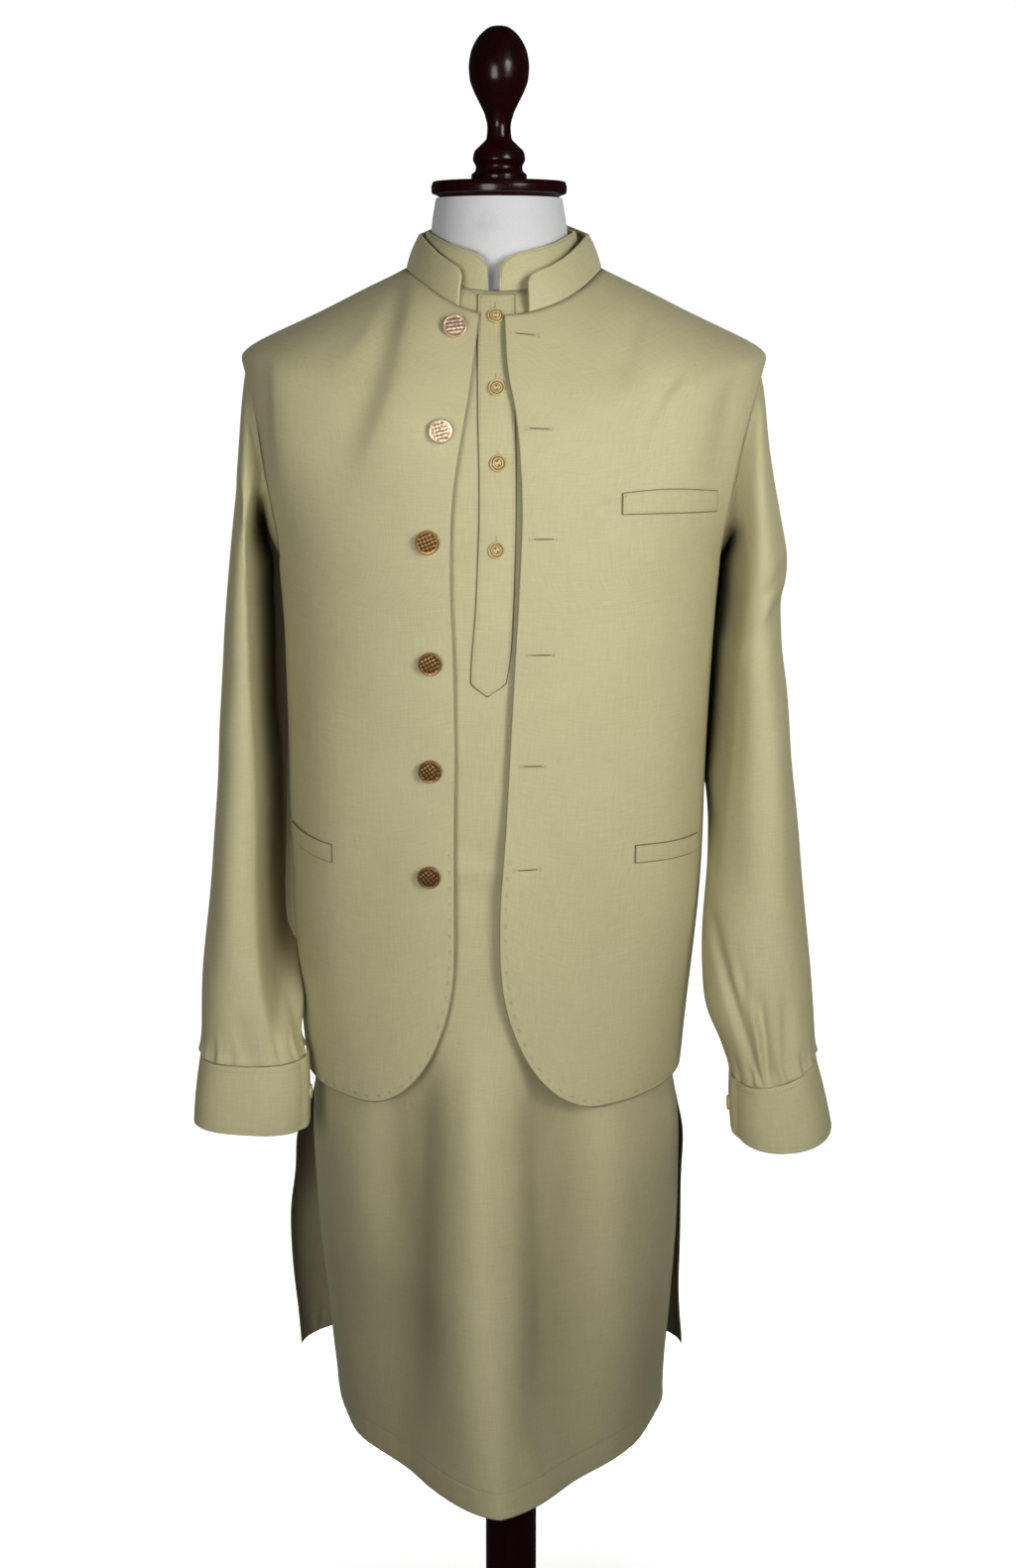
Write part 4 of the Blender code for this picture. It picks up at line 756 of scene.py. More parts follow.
def creases(x, z, rows):
    """Depth of listed troughs and ridges at places seen from the front.

    A row is (x0, z0, x1, z1, bow, width, depth, bias): a line from one end to the other, bowed
    sideways, that is steeper on one side and fades at both ends.
    """
    out = np.zeros_like(x)
    for x0, z0, x1, z1, bow, width, depth, bias in rows:
        length = math.hypot(x1 - x0, z1 - z0)
        ax, az = (x1 - x0) / length, (z1 - z0) / length
        t = ((x - x0) * ax + (z - z0) * az) / length
        side = (x - x0) * -az + (z - z0) * ax
        side = side - bow * np.sin(math.pi * np.clip(t, 0, 1))
        spread_here = width * (0.75 + 0.5 * np.clip(t, 0, 1))
        spread_here = np.where(side > 0, spread_here * (1 + bias), spread_here * (1 - bias))
        fade = ease((t + 0.18) / 0.4) * ease((1.18 - t) / 0.5)
        out += depth * fade * np.exp(-((side / spread_here) ** 2))
    return out


def ripple(x, z, scale, seed):
    """Slow, even unevenness from a few crossed waves."""
    out = np.zeros_like(x)
    for k in range(5):
        turn = seed * 1.7 + k * 2.399
        pitch = scale * (0.7 + 0.22 * k)
        out += np.sin((x * math.cos(turn) + z * math.sin(turn)) / pitch * 2 * math.pi + seed * 3.1 + k * 1.3)
    return out / 5


def pair(first, second=None):
    """Two values at each point. The second is 0 where none is given."""
    return np.stack([first, 0 * first if second is None else second], axis=-1)


def across_all(column, count):
    """A column of values, repeated over a grid's columns."""
    return np.repeat(column[:, None], count, axis=1)


def quads_of(index, turned=False):
    """Quads between the rows of a grid of point numbers. turned gives them the other way round."""
    a, b, c, d = index[:-1, :-1], index[:-1, 1:], index[1:, 1:], index[1:, :-1]
    return np.stack((a, d, c, b) if turned else (a, b, c, d), axis=-1).reshape(-1, 4)


def ring_index(rows, sides, first=0):
    """Point numbers of closed rings, with the first column again after the last."""
    index = first + np.arange(rows * sides).reshape(rows, sides)
    return np.concatenate([index, index[:, :1]], axis=1)


def round_turns(sides):
    return np.arange(sides) * 2 * math.pi / sides


def make_mesh(name, points, faces, mat, uvs=None, smooth_angle=None):
    mesh = bpy.data.meshes.new(name)
    mesh.from_pydata(points.tolist(), [], faces.tolist() if hasattr(faces, "tolist") else faces)
    for layer_name, values in (uvs or {}).items():
        layer = mesh.uv_layers.new(name=layer_name)
        index = np.empty(len(mesh.loops), dtype=np.int32)
        mesh.loops.foreach_get("vertex_index", index)
        layer.data.foreach_set("uv", values[index].astype(np.float32).ravel())
    mesh.shade_smooth()
    if smooth_angle:
        mesh.set_sharp_from_angle(angle=smooth_angle)
    mesh.materials.append(mat)
    mesh.validate()
    made = bpy.data.objects.new(name, mesh)
    bpy.context.scene.collection.objects.link(made)
    return made


def wall_faces(rows, columns, closed):
    """Quads of a closed solid between two grids whose points follow each other, facing out."""
    count = rows * columns
    index = ring_index(rows, columns) if closed else np.arange(count).reshape(rows, columns)
    front = quads_of(index)
    faces = [front, count + front[:, ::-1]]
    edges = [(index[0, 1:], index[0, :-1]), (index[-1, :-1], index[-1, 1:])]
    if not closed:
        edges += [(index[:-1, 0], index[1:, 0]), (index[1:, -1], index[:-1, -1])]
    faces += [np.stack([a, b, count + b, count + a], axis=-1) for a, b in edges]
    return np.concatenate(faces)


def make_cloth(name, outer, inner, mat, uvs, closed=False):
    """Cloth between two grids. The world frame stands AXIS_X beside the garment's."""
    rows, columns = outer.shape[:2]
    faces = wall_faces(rows, columns, closed)
    points = np.concatenate([outer.reshape(-1, 3), inner.reshape(-1, 3)])
    a, b, c, d = (points[faces[:, k]] for k in range(4))
    volume = (np.cross(b - a, c - a) * a).sum() + (np.cross(c - a, d - a) * a).sum()
    if volume < 0:
        faces = faces[:, ::-1]
    points = points + [AXIS_X, 0, 0]
    both = {key: np.concatenate([value.reshape(-1, 2)] * 2) for key, value in uvs.items()}
    return make_mesh(name, points, faces, mat, both)


def weave_places(grid):
    """Metres across and down the cloth, for its weave."""
    middle = grid.shape[1] // 2
    across = np.linalg.norm(np.diff(grid, axis=1), axis=2)
    across = np.concatenate([np.zeros((grid.shape[0], 1)), np.cumsum(across, axis=1)], axis=1)
    across -= across[:, middle:middle + 1]
    return pair(across, across_all(line_lengths(grid[:, middle]), grid.shape[1]))


def thin_edges(outer, inner, distance, radius):
    """Rounds the wall off towards its edges."""
    share = np.clip(1 - distance / radius, 0, 1)
    keep = np.maximum(np.sqrt(1 - share**2), 0.25)[..., None]
    middle = (outer + inner) / 2
    return middle + (outer - middle) * keep, middle + (inner - middle) * keep


def graded(start, end, count, first=(), last=()):
    """Even steps from start to end, with extra stops close to either end."""
    even = np.linspace(start, end, count + 1)
    near = [start + k for k in first]
    far = [end - k for k in last]
    low = max(near) if len(near) else start - 1
    high = min(far) if len(far) else end + 1
    room = abs(end - start) / count * 0.3
    inside = even[(even > low + room) & (even < high - room)]
    return np.unique(np.round(np.concatenate([[start], near, inside, far, [end]]), 7))


class Seen:
    """A built cloth as it is seen from the front, to lay smaller pieces on."""

    def __init__(self, grid):
        rows, columns = grid.shape[:2]
        quads = quads_of(np.arange(rows * columns).reshape(rows, columns))
        self.tree = BVHTree.FromPolygons(grid.reshape(-1, 3).tolist(), quads.tolist())

    def hit(self, x, z, lift=0.0):
        """The point and the normal at x and z."""
        place, normal, _, _ = self.tree.ray_cast(Vector((x, -1.0, z)), Vector((0, 1, 0)))
        if normal.y > 0:
            normal = -normal
        return np.array(place + normal * lift), np.array(normal)

    def grid(self, x, z):
        """The points and the normals at a grid of places."""
        hits = np.array([[self.hit(*spot) for spot in zip(*row)] for row in zip(x, z)])
        return hits[:, :, 0], hits[:, :, 1]


def dress(piece, slot, *nodes):
    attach(piece, "root")
    if nodes:
        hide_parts(*nodes)
    return piece


def shares_of(count, stops):
    """Shares from 0 to 1 with the same extra stops at both ends."""
    return graded(0, 1, count, stops, stops)


def panel_side(face, hole, side, low_z, counts):
    """u and v down the side of a panel: shoulder seam, armhole, then the side seam to the hem."""
    top = face.rows[0, 0]
    shoulder = graded(0, 1, counts[0], (0.02, 0.05))[:-1]
    hole_u, hole_v = armhole(hole, np.linspace(0, math.pi, counts[1] + 1), side)
    below = graded(0, hole[1] - low_z, counts[2], (), HEM_STOPS)[1:]
    u = np.concatenate([np.ones(len(shoulder)), hole_u, np.ones(len(below))])
    v = np.concatenate([top + (hole[0] - top) * shoulder, hole_v, hole[1] - below])
    return u, v


def panel_grid(face, hole, side, low_z, counts, rounds):
    """u, v and points of a panel that reaches from side to side."""
    edge_u, edge_v = panel_side(face, hole, side, low_z, counts)
    half = spread(graded(0, 1, PANEL_COLUMNS, (), SIDE_STOPS))
    share = np.concatenate([-half[:0:-1], half])
    u = edge_u[:, None] * share[None, :]
    v = across_all(edge_v, len(share))
    return u, v, soften(face.grid(u, v), rounds)


def loose_at_sides(u, pace):
    """0 at a panel's sides, where it is sewn, and 1 further in."""
    return ease((1 - np.abs(u) / np.abs(u).max(axis=1, keepdims=True)) * pace)


def panel_walls(outer, toward, sewn, columns, wall, free, radius):
    """Both sides of a panel, rounded off at its free edges. A sewn edge faces straight back or forward."""
    normals = face_normals(outer, toward)
    normals[np.ix_(sewn, columns, [1])] = 0.0
    gap, _ = edge_places(outer, free, NEAR_EDGE)
    return thin_edges(outer, outer - unit(normals) * wall, gap, radius)


def make_panel(node, outer, inner, toward, look, uvs):
    """A panel's cloth, moved half a seam's gap and a little more off the other half."""
    for grid in (outer, inner):
        grid[..., 1] += SEAM_GAP * SEAM_SHARE * toward
    piece = make_cloth(f"{node}_cloth", outer, inner, LOOKS[look], uvs)
    return dress(piece, "khaki", node), Seen(outer)


def hem_pucker(distance, place, depth):
    """Small uneven puckers where a hem is stitched down."""
    band = np.exp(-(((distance - PUCKER_MIDDLE) / PUCKER_REACH) ** 2))
    wave = np.sin(place / PUCKER_PITCH * 2 * math.pi + 2.2 * np.sin(place / PUCKER_DRIFT))
    return depth * band * (wave + 0.6 * np.sin(place / PUCKER_FINE_PITCH * 6.1))


def build_kurta_panel(side):
    face = KURTA[side]
    u, v, grid = panel_grid(face, KURTA_ARMHOLE, side, HEM_Z, KURTA_ROWS, 14)
    x, z = grid[..., 0], grid[..., 2]
    laid = creases(x, z, KURTA_CREASES[side])
    hem_gap, hem_place = edge_places(grid, [grid[-1]], STITCH_REACH)
    push = face.push(u, v) + laid + CLOTH_WAVE * ripple(x, z, *CLOTH_WAVES[f"kurta_{side}"])
    push = push + hem_pucker(hem_gap, hem_place, HEM_PUCKER)
    push = push * np.where(v > SLIT_Z, loose_at_sides(u, 6), 1.0)
    outer = grid + face_normals(grid, face.toward) * push[..., None]
    sewn = v[:, 0] > SLIT_Z
    lines = [outer[-1], outer[~sewn][:, 0], outer[~sewn][:, -1]]
    outer, inner = panel_walls(outer, face.toward, sewn, [0, -1], KURTA_WALL, lines, KURTA_WALL / 2)
    slit_gap, slit_place = edge_places(outer, lines[1:3], STITCH_REACH)
    # one stitch line: the hem's, and the slits' nearer to their edge
    nearer = STITCH_FROM_HEM - STITCH_FROM_SLIT
    place = np.where(hem_gap < slit_gap + nearer, hem_place, slit_place)
    # the skirt's troughs are darkened with painted shade
    uvs = {"Weave": weave_places(outer), "Edge": pair(np.minimum(hem_gap, slit_gap + nearer), place),
           "PaintedShade": pair(SKIRT_PAINTED_SHADE * np.clip(-laid / SKIRT_DEPTH, 0, 1))}
    return make_panel(f"kurta_{side}", outer, inner, face.toward, "hemmed", uvs)


def build_waistcoat_front(side):
    """A front as a patch between its front edge, neckline, side and rounded hem."""
    face = WAISTCOAT["front"]
    side_u, side_v = panel_side(face, WAISTCOAT_ARMHOLE, "front", WAISTCOAT_HEM_Z, FRONT_ROWS)
    side_u = side_u * (-1 if side == "right" else 1)
    drop = (side_v[0] - side_v) / (side_v[0] - side_v[-1])
    front, hem = front_outline(side)
    front_u, front_v = face.locate(*resample(front, drop).T)
    front_v[0] = side_v[0]
    across = spread(graded(0, 1, 60, (0.0015, 0.0035, 0.007, 0.014, 0.022), SIDE_STOPS))
    hem_u, hem_v = face.locate(*resample(hem, across).T)
    hem_u[-1], hem_v[-1] = side_u[-1], side_v[-1]
    hem_u[0], hem_v[0] = front_u[-1], front_v[-1]
    r, s = across[None, :], drop[:, None]
    top_u = front_u[0] + (side_u[0] - front_u[0]) * r
    top_v = np.full_like(top_u, side_v[0])

    def patch(top, bottom, first, last):
        ruled = (1 - s) * top + s * bottom[None, :] + (1 - r) * first[:, None] + r * last[:, None]
        high = (1 - r) * top[0, 0] + r * top[0, -1]
        low = (1 - r) * bottom[0] + r * bottom[-1]
        return ruled - (1 - s) * high - s * low

    u = patch(top_u, hem_u, front_u, side_u)
    v = patch(top_v, hem_v, front_v, side_v)
    grid = soften(face.grid(u, v), 8)
    x, z = grid[..., 0], grid[..., 2]
    gap, place = edge_places(grid, [np.concatenate([grid[:, 0], grid[-1, 1:]])], ROLL_READ)
    push = creases(x, z, WAISTCOAT_CREASES[side])
    push = push + FRONT_WAVE * ripple(x, z, *CLOTH_WAVES[f"waistcoat_{side}"])
    high_z, low_z, lift = EDGE_ROLL[side]
    roll = ease((high_z - z) / ROLL_FADE) * ease((z - low_z) / ROLL_FADE)
    push = push + lift * roll * np.exp(-((gap / ROLL_REACH) ** 2)) + hem_pucker(gap, place, FRONT_PUCKER)
    push = push * ease((1 - np.abs(u) / np.abs(side_u)[:, None]) * 20)
    outer = grid + face_normals(grid, -1) * push[..., None]
    sewn = np.abs(side_u) > 0.999
    lines = [np.concatenate([outer[:, 0], outer[-1, 1:]]), outer[~sewn][:, -1]]
    outer, inner = panel_walls(outer, -1, sewn, [-1], WAISTCOAT_WALL, lines, WAISTCOAT_ROUND)
    distance, place = edge_places(outer, lines[:1], FAR_EDGE)
    # the picked stitches begin under the last button
    picked = np.where(z > PICKED_TOP_Z, FAR_EDGE, distance)
    uvs = {"Weave": weave_places(outer), "Edge": pair(picked, place), "Rim": pair(distance, place)}
    return make_panel(f"waistcoat_front_{side}", outer, inner, -1, "picked", uvs)


def build_waistcoat_back():
    u, _, grid = panel_grid(WAISTCOAT["back"], WAISTCOAT_ARMHOLE, "back", WAISTCOAT_HEM_Z, BACK_ROWS, 10)
    x, z = grid[..., 0], grid[..., 2]
    push = creases(x, z, WAISTCOAT_CREASES["back"])
    push = push + CLOTH_WAVE * ripple(x, z, *CLOTH_WAVES["waistcoat_back"])
    push = push - BACK_SEAM_DEPTH * np.exp(-((u / BACK_SEAM_SHARE) ** 2))
    push = push * loose_at_sides(u, 9)
    outer = grid + face_normals(grid, 1) * push[..., None]
    sewn = np.abs(u[:, -1]) > 0.999
    lines = [outer[-1], outer[~sewn][:, 0], outer[~sewn][:, -1]]
    outer, inner = panel_walls(outer, 1, sewn, [0, -1], WAISTCOAT_WALL, lines, WAISTCOAT_ROUND)
    rim = pair(*edge_places(outer, lines[:1], FAR_EDGE))
    uvs = {"Weave": weave_places(outer), "Edge": rim, "Rim": rim}
    return make_panel("waistcoat_back", outer, inner, 1, "picked", uvs)


def tube_uvs(grid, lines):
    """Weave and edge places of a tube, whose weave meets itself on the inner side."""
    girth = np.linalg.norm(np.roll(grid, -1, axis=1) - grid, axis=2).sum(axis=1).mean()
    across = np.linspace(0, 1, grid.shape[1], endpoint=False) * girth
    down = across_all(line_lengths(grid.mean(axis=1)), grid.shape[1])
    return {"Weave": pair(0 * down + across, down), "Edge": pair(*edge_places(grid, lines, FAR_EDGE))}


def rest_on_side(points, side, facing):
    """Moves a sleeve's inner side close to the waistcoat's side, where it is near already."""
    sign = 1 if side == "left" else -1
    high, low = SLEEVE_REST[side]
    x, y, z = (points[..., k].ravel() for k in range(3))
    reach = np.zeros(len(x))
    for half, mine in (("front", y < 0), ("back", y >= 0)):
        width, shift, side_y, mid_y, _, power = (column[mine] for column in WAISTCOAT[half].ring(z))
        depth = np.clip(np.abs((y[mine] - side_y) / (mid_y - side_y)), 0, 1)
        reach[mine] = sign * shift + width * (1 - depth**power) ** (1 / power)
    gap = sign * points[..., 0] - reach.reshape(points.shape[:2])
    pull = ease((REST_REACH - gap) / (REST_REACH * 0.7)) * (facing < 0)
    pull = pull * ease((high - points[..., 2]) / 0.04) * ease((points[..., 2] - low) / 0.05)
    moved = points.copy()
    moved[..., 0] -= sign * pull * (gap - REST_GAP)
    return moved


def fall_back(points, side, turns):
    """Lets the inner part of a sleeve's front fall back, which leaves a deep valley beside the waistcoat.

    Gives the moved points, and how deep in the valley each one lies.
    """
    high, low, low_z = SLEEVE_FALL[side]
    z = points[..., 2]
    start = math.pi * (high + (low - high) * ease((1.25 - z) / 0.30))
    dip = ease((turns[None, :] - start) / 0.42) * ease((1.25 * math.pi - turns[None, :]) / 0.60)
    dip = dip * ease((1.40 - z) / 0.05) * ease((z - low_z) / 0.10)
    floor = points[..., 1].mean(axis=1, keepdims=True) + FALL_BACK
    moved = points.copy()
    moved[..., 1] += dip * np.maximum(floor - points[..., 1], 0)
    return moved, dip


def armhole_ring(turns, sign):
    """The first ring of a sleeve, on the kurta's armhole."""
    ring = np.zeros((len(turns), 3))
    front = turns <= math.pi
    for half, mine, hole_turns in (("front", front, turns), ("back", ~front, 2 * math.pi - turns)):
        u, v = armhole(KURTA_ARMHOLE, hole_turns[mine], half)
        ring[mine] = KURTA[half].plain(u * sign, v)
    ring[:, 0] += sign * 2 * SEAM_GAP
    return ring


def build_sleeve(side):
    sign = 1 if side == "left" else -1
    turns = round_turns(SLEEVE_COLUMNS)
    first = armhole_ring(turns, sign)
    rows = np.array(SLEEVES[side])
    places = graded(0, len(rows) - 1, SLEEVE_ROWS, (), (0.02, 0.05, 0.1, 0.2))
    table = np.transpose([smooth(np.arange(len(rows)), column, places) for column in rows.T])
    rings = [tube_ring(row, turns) for row in table]
    # the cloth leaves the armhole's seam in a short blend
    blend = [first + (rings[0] - first) * share for share in (0, 0.25, 0.5, 0.75)]
    grid = soften(np.stack(blend + rings), 10)
    x, z = grid[..., 0], grid[..., 2]
    facing = np.sin(turns)[None, :]
    push = ease(facing * 1.6) * creases(x, z, SLEEVE_CREASES[side])
    push = push + ease(-facing * 1.6) * creases(x, z, SLEEVE_BACK_CREASES[side])
    push = push + CLOTH_WAVE * ripple(x + grid[..., 1], z, *CLOTH_WAVES[f"sleeve_{side}"])
    along = line_lengths(grid.mean(axis=1))
    near_seam = ease(along / SEAM_FADE)[:, None]
    to_cuff = (along[-1] - along)[:, None]
    gathers = np.exp(-((to_cuff - GATHER_MIDDLE) / GATHER_REACH) ** 2)
    wide, narrow = GATHER_COUNTS
    wave = np.sin(turns * wide + 1.3 * np.sin(turns * 3)) + 0.7 * np.sin(turns * narrow + 0.8)
    push = push + GATHER_DEPTH * gathers * wave[None, :]
    push = push + GATHER_BULGE * np.exp(-((to_cuff - BULGE_MIDDLE) / BULGE_REACH) ** 2)
    push = push * near_seam * ease(to_cuff / CUFF_FADE)
    loose = grid + grid_normals(grid) * push[..., None]
    fallen, dip = fall_back(loose, side, turns)
    outer = rest_on_side(loose + (fallen - loose) * near_seam[..., None], side, np.cos(turns)[None, :])
    normals = grid_normals(outer)
    normals[0, :, 0] = 0.0
    inner = outer - unit(normals) * KURTA_WALL
    uvs = tube_uvs(outer, [np.vstack([outer[0], outer[0][:1]])])
    # painted shade darkens the sleeve in its valley beside the waistcoat
    uvs["PaintedShade"] = pair(dip * near_seam)
    piece = make_cloth(f"kurta_sleeve_{side}_cloth", outer, inner, LOOKS["sleeve"], uvs, closed=True)
    return dress(piece, "khaki", *(f"kurta_sleeve_{side}{length}" for length in ("", "_elbow", "_forearm")))


def build_strip(node, outer, inner, lines, radius, look):
    """A small cloth with all its edges rounded off, and where it is seen."""
    distance, place = edge_places(outer, lines, FAR_EDGE)
    outer, inner = thin_edges(outer, inner, distance, radius)
    uvs = {"Weave": weave_places(outer), "Edge": pair(distance, place)}
    piece = make_cloth(f"{node}_cloth", outer, inner, LOOKS[look], uvs)
    return dress(piece, "khaki", node), Seen(outer)


def build_cuff(side):
    """A cuff as one strip whose end laps over its start on the inner side."""
    around = shares_of(CUFF_COLUMNS, (0.0012, 0.003, 0.006))
    turns = math.pi - CUFF_LAP / 2 + around * (2 * math.pi + CUFF_LAP)
    shares = shares_of(CUFF_ROWS, (0.006, 0.015, 0.03, 0.06))
    grid = np.stack([cuff_ring(side, share, turns) for share in shares])
    normals = surface_normals(grid)
    normals *= np.sign(((grid - grid.mean(axis=1, keepdims=True)) * normals).sum())
    over = CUFF_STEP * ease((CUFF_LAP * 1.25 - (turns[-1] - turns)) / (CUFF_LAP * 0.5))
    belly = CUFF_BELLY * np.sin(math.pi * shares)[:, None]
    outer = grid + normals * (over[None, :, None] + belly[..., None])
    lines = [np.concatenate([outer[:, 0][::-1], outer[0], outer[:, -1]]), outer[-1]]
    inner = outer - normals * CUFF_WALL
    return build_strip(f"kurta_cuff_{side}", outer, inner, lines, CUFF_WALL / 3, "stitched")


def build_collar(name, faces, size, thickness, look):
    front = faces["front"]
    span = np.linspace(-1, 1, 401)
    line = front.plain(span, np.full(len(span), front.rows[0, 0]))
    first, last = np.interp(size["ends"], line[:, 0], span)
    stops = (0.004, 0.01, 0.02, 0.035)
    w = graded(-2 - first, 2 - last, COLLAR_COLUMNS, stops, stops)
    base = neck_point(faces, w)
    ahead = soften(neck_point(faces, w + 0.01) - neck_point(faces, w - 0.01), 12)
    out = unit(np.stack([ahead[:, 1], -ahead[:, 0], np.zeros(len(w))], axis=1))
    out *= np.sign(((base - base.mean(axis=0)) * out).sum(axis=1))[:, None]
    lean = size["lean_middle"] + (size["lean_side"] - size["lean_middle"]) * out[:, 0] ** 2
    rise = np.stack([-out[:, 0] * np.sin(lean), -out[:, 1] * np.sin(lean), np.cos(lean)], axis=1)
    along = line_lengths(base)
    near = np.clip(1 - np.minimum(along, along[-1] - along) / size["round"], 0, 1)
    height = size["end_height"] + (size["height"] - size["end_height"]) * np.sqrt(1 - near**2)
    shares = shares_of(COLLAR_ROWS, (0.01, 0.03, 0.06))
    outer = base[None] + rise[None] * (height[None, :, None] * shares[:, None, None] + 2 * SEAM_GAP)
    face_out = unit(out * np.cos(lean)[:, None] + np.array([0, 0, 1.0]) * np.sin(lean)[:, None])
    outer = outer + face_out[None] * (COLLAR_BELLY * np.sin(math.pi * shares)[:, None, None])
    lines = [np.concatenate([outer[:, 0], outer[-1], outer[::-1, -1]])]
    return build_strip(name, outer, outer - face_out[None] * thickness, lines, thickness / 2, look)


def laid_patch(name, seen, x, z, thickness, look):
    """A flat piece laid on a cloth."""
    points, normals = seen.grid(x, z)
    normals = unit(soften(normals, 6))
    gap = 1.2 * SEAM_GAP
    outer = points + normals * (gap + thickness)
    lines = [np.concatenate([outer[0], outer[1:, -1], outer[-1, -2::-1], outer[-2::-1, 0]])]
    return build_strip(name, outer, points + normals * gap, lines, thickness * 0.6, look)


def build_welt(name, seen):
    inner_x, outer_x, inner_z, outer_z, height = WELTS[name]
    arch = WELT_ARCH if "chest" in name else 0.0
    across = shares_of(40, (0.005, 0.012, 0.025))
    down = shares_of(12, (0.03, 0.07, 0.13))[:, None]
    x = inner_x + (outer_x - inner_x) * across
    bow = arch * np.sin(math.pi * across)
    top = inner_z + (outer_z - inner_z) * across**1.5 + bow
    return laid_patch(name, seen, x + 0 * down, top - (height + bow) * down, WELT_WALL, "welt")


def build_placket(seen):
    rows = np.array(PLACKET)
    start, shoulder, tip = rows[0, 0], rows[-2], rows[-1]
    body = graded(0, 1, 90, (0.0016, 0.004), ())
    z = np.concatenate([start + (shoulder[0] - start) * body, PLACKET_POINT, tip[:1]])
    z = np.unique(z)[::-1]
    point = np.clip((shoulder[0] - z) / (shoulder[0] - tip[0]), 0, 1)

    def edge(k):
        straight = shoulder[k] + (tip[k] - shoulder[k]) * point
        return smooth(rows[:, 0], rows[:, k], z) * (1 - point) + straight * point

    left, right = edge(1), edge(2)
    share = shares_of(18, (0.02, 0.05, 0.1))
    x = left[:, None] + (right - left)[:, None] * share[None, :]
    return laid_patch("kurta_placket", seen, x, across_all(z, len(share)), PLACKET_WALL, "placket")


def ring_body(name, grid, place, turned, mat, angle):
    """A body of closed rings with flat ends."""
    index = ring_index(*grid.shape[:2])
    ends = [index[0, :-1].tolist(), index[-1, :-1].tolist()]
    ends[int(turned)].reverse()
    faces = quads_of(index, turned).tolist() + ends
    return make_mesh(name, grid.reshape(-1, 3) + place, faces, mat, None, math.radians(angle))


def lathe(name, profile, sides, rows, mat, place):
    """A turned piece whose outline runs smoothly through the profile's points."""
    line = np.array(profile)
    line[:, 0] = np.maximum(line[:, 0], 0.0002)
    along = line_lengths(line)
    fine = resample(line, np.unique(np.concatenate([np.linspace(0, 1, rows), along / along[-1]])))
    turns = round_turns(sides)
    grid = np.stack([fine[:, :1] * np.cos(turns)[None], fine[:, :1] * np.sin(turns)[None],
                     np.repeat(fine[:, 1:], sides, axis=1)], axis=-1)
    return ring_body(name, grid, place, False, mat, 32)


def build_wood():
    neck = np.array([AXIS_X + FORM[0][2], 0.0, NECK_TOP_Z + SEAM_GAP])
    top = neck + [0, 0, CAP_HEIGHT + SEAM_GAP]
    for name, profile, sides, rows, place in (
        ("neck_cap", CAP_PROFILE, 96, 40, neck),
        ("finial", FINIAL_PROFILE, 72, 120, top),
        ("pole", POLE_PROFILE, 64, 120, np.zeros(3)),
        ("base", BASE_PROFILE, 128, 90, np.zeros(3)),
    ):
        piece = lathe(f"{name}_turned", profile, sides, rows, LOOKS["wood"], place)
        dress(piece, "mahogany", name)


def build_form():
    """The form as one smooth covered body from its foot to the top of its neck."""
    rows = np.array(FORM)
    z = np.linspace(rows[0, 0], rows[-1, 0], FORM_ROWS)
    z = np.unique(np.concatenate([z, rows[0, 0] - np.array([0.0004, 0.001, 0.002])]))[::-1]
    half, shift, front_y, back_y, power = (smooth(rows[:, 0], rows[:, k], z)[:, None] for k in range(1, 6))
    turns = round_turns(FORM_SIDES)
    c, s = np.cos(turns)[None], np.sin(turns)[None]
    x = shift + half * np.sign(c) * np.abs(c) ** (2 / power)
    y = np.where(s < 0, -front_y, back_y) * np.sign(s) * np.abs(s) ** (2 / power)
    grid = soften(np.stack([x, y, across_all(z, FORM_SIDES)], axis=-1), 4)
    return dress(ring_body("form_covered", grid, [AXIS_X, 0, 0], True, LOOKS["canvas"], 40), "canvas", "form")


def build_button(name, size, relief, look, place, normal, tilt, spin):
    """A button with a raised rim. relief(x, y) is added to its face, whose middle is domed."""
    radius, rim, dome, thickness = size
    turns = round_turns(BUTTON_SIDES)
    r = (np.linspace(0, 1, BUTTON_RINGS + 1)[1:] * radius)[:, None]
    x, y = r * np.cos(turns)[None], r * np.sin(turns)[None]
    r = np.hypot(x, y)
    worked = relief(x, y)
    middle = relief(np.zeros(1), np.zeros(1))
    band = np.clip((r - (radius - rim)) / rim, 0, 1)
    edge = np.clip((r - (radius - EDGE_ROUND)) / EDGE_ROUND, 0, 1)
    top = thickness + dome * (1 - (r / radius) ** 2) + worked + RIM_RISE * np.sin(math.pi * band)
    top = top - EDGE_ROUND * (1 - np.sqrt(1 - edge**2 * 0.999))
    low = np.stack([x[-1] * FOOT_SHARE, y[-1] * FOOT_SHARE, np.zeros(BUTTON_SIDES)], axis=-1)
    points = np.concatenate([[[0.0, 0.0, thickness + dome + middle[0]]],
                             np.stack([x, y, top], axis=-1).reshape(-1, 3), low])
    # the last ring of the index is the button's foot
    index = ring_index(BUTTON_RINGS + 1, BUTTON_SIDES, 1)
    faces = quads_of(index, True).tolist()
    faces += [[0, int(a), int(b)] for a, b in zip(index[0, :-1], index[0, 1:])]
    faces.append(index[-1, -2::-1].tolist())
    turn = Vector(normal).to_track_quat("Z", "Y").to_matrix()
    turn = Matrix.Rotation(tilt, 3, "X") @ turn @ Matrix.Rotation(spin, 3, "Z")
    heights = np.concatenate([middle, worked.ravel(), np.zeros(BUTTON_SIDES)])
    uvs = {"Relief": pair(np.clip(1 + heights / RELIEF_DEPTH, 0, 1))}
    points = points @ np.array(turn).T + (place + [AXIS_X, 0, 0])
    return make_mesh(name, points, faces, LOOKS[look], uvs, math.radians(50))


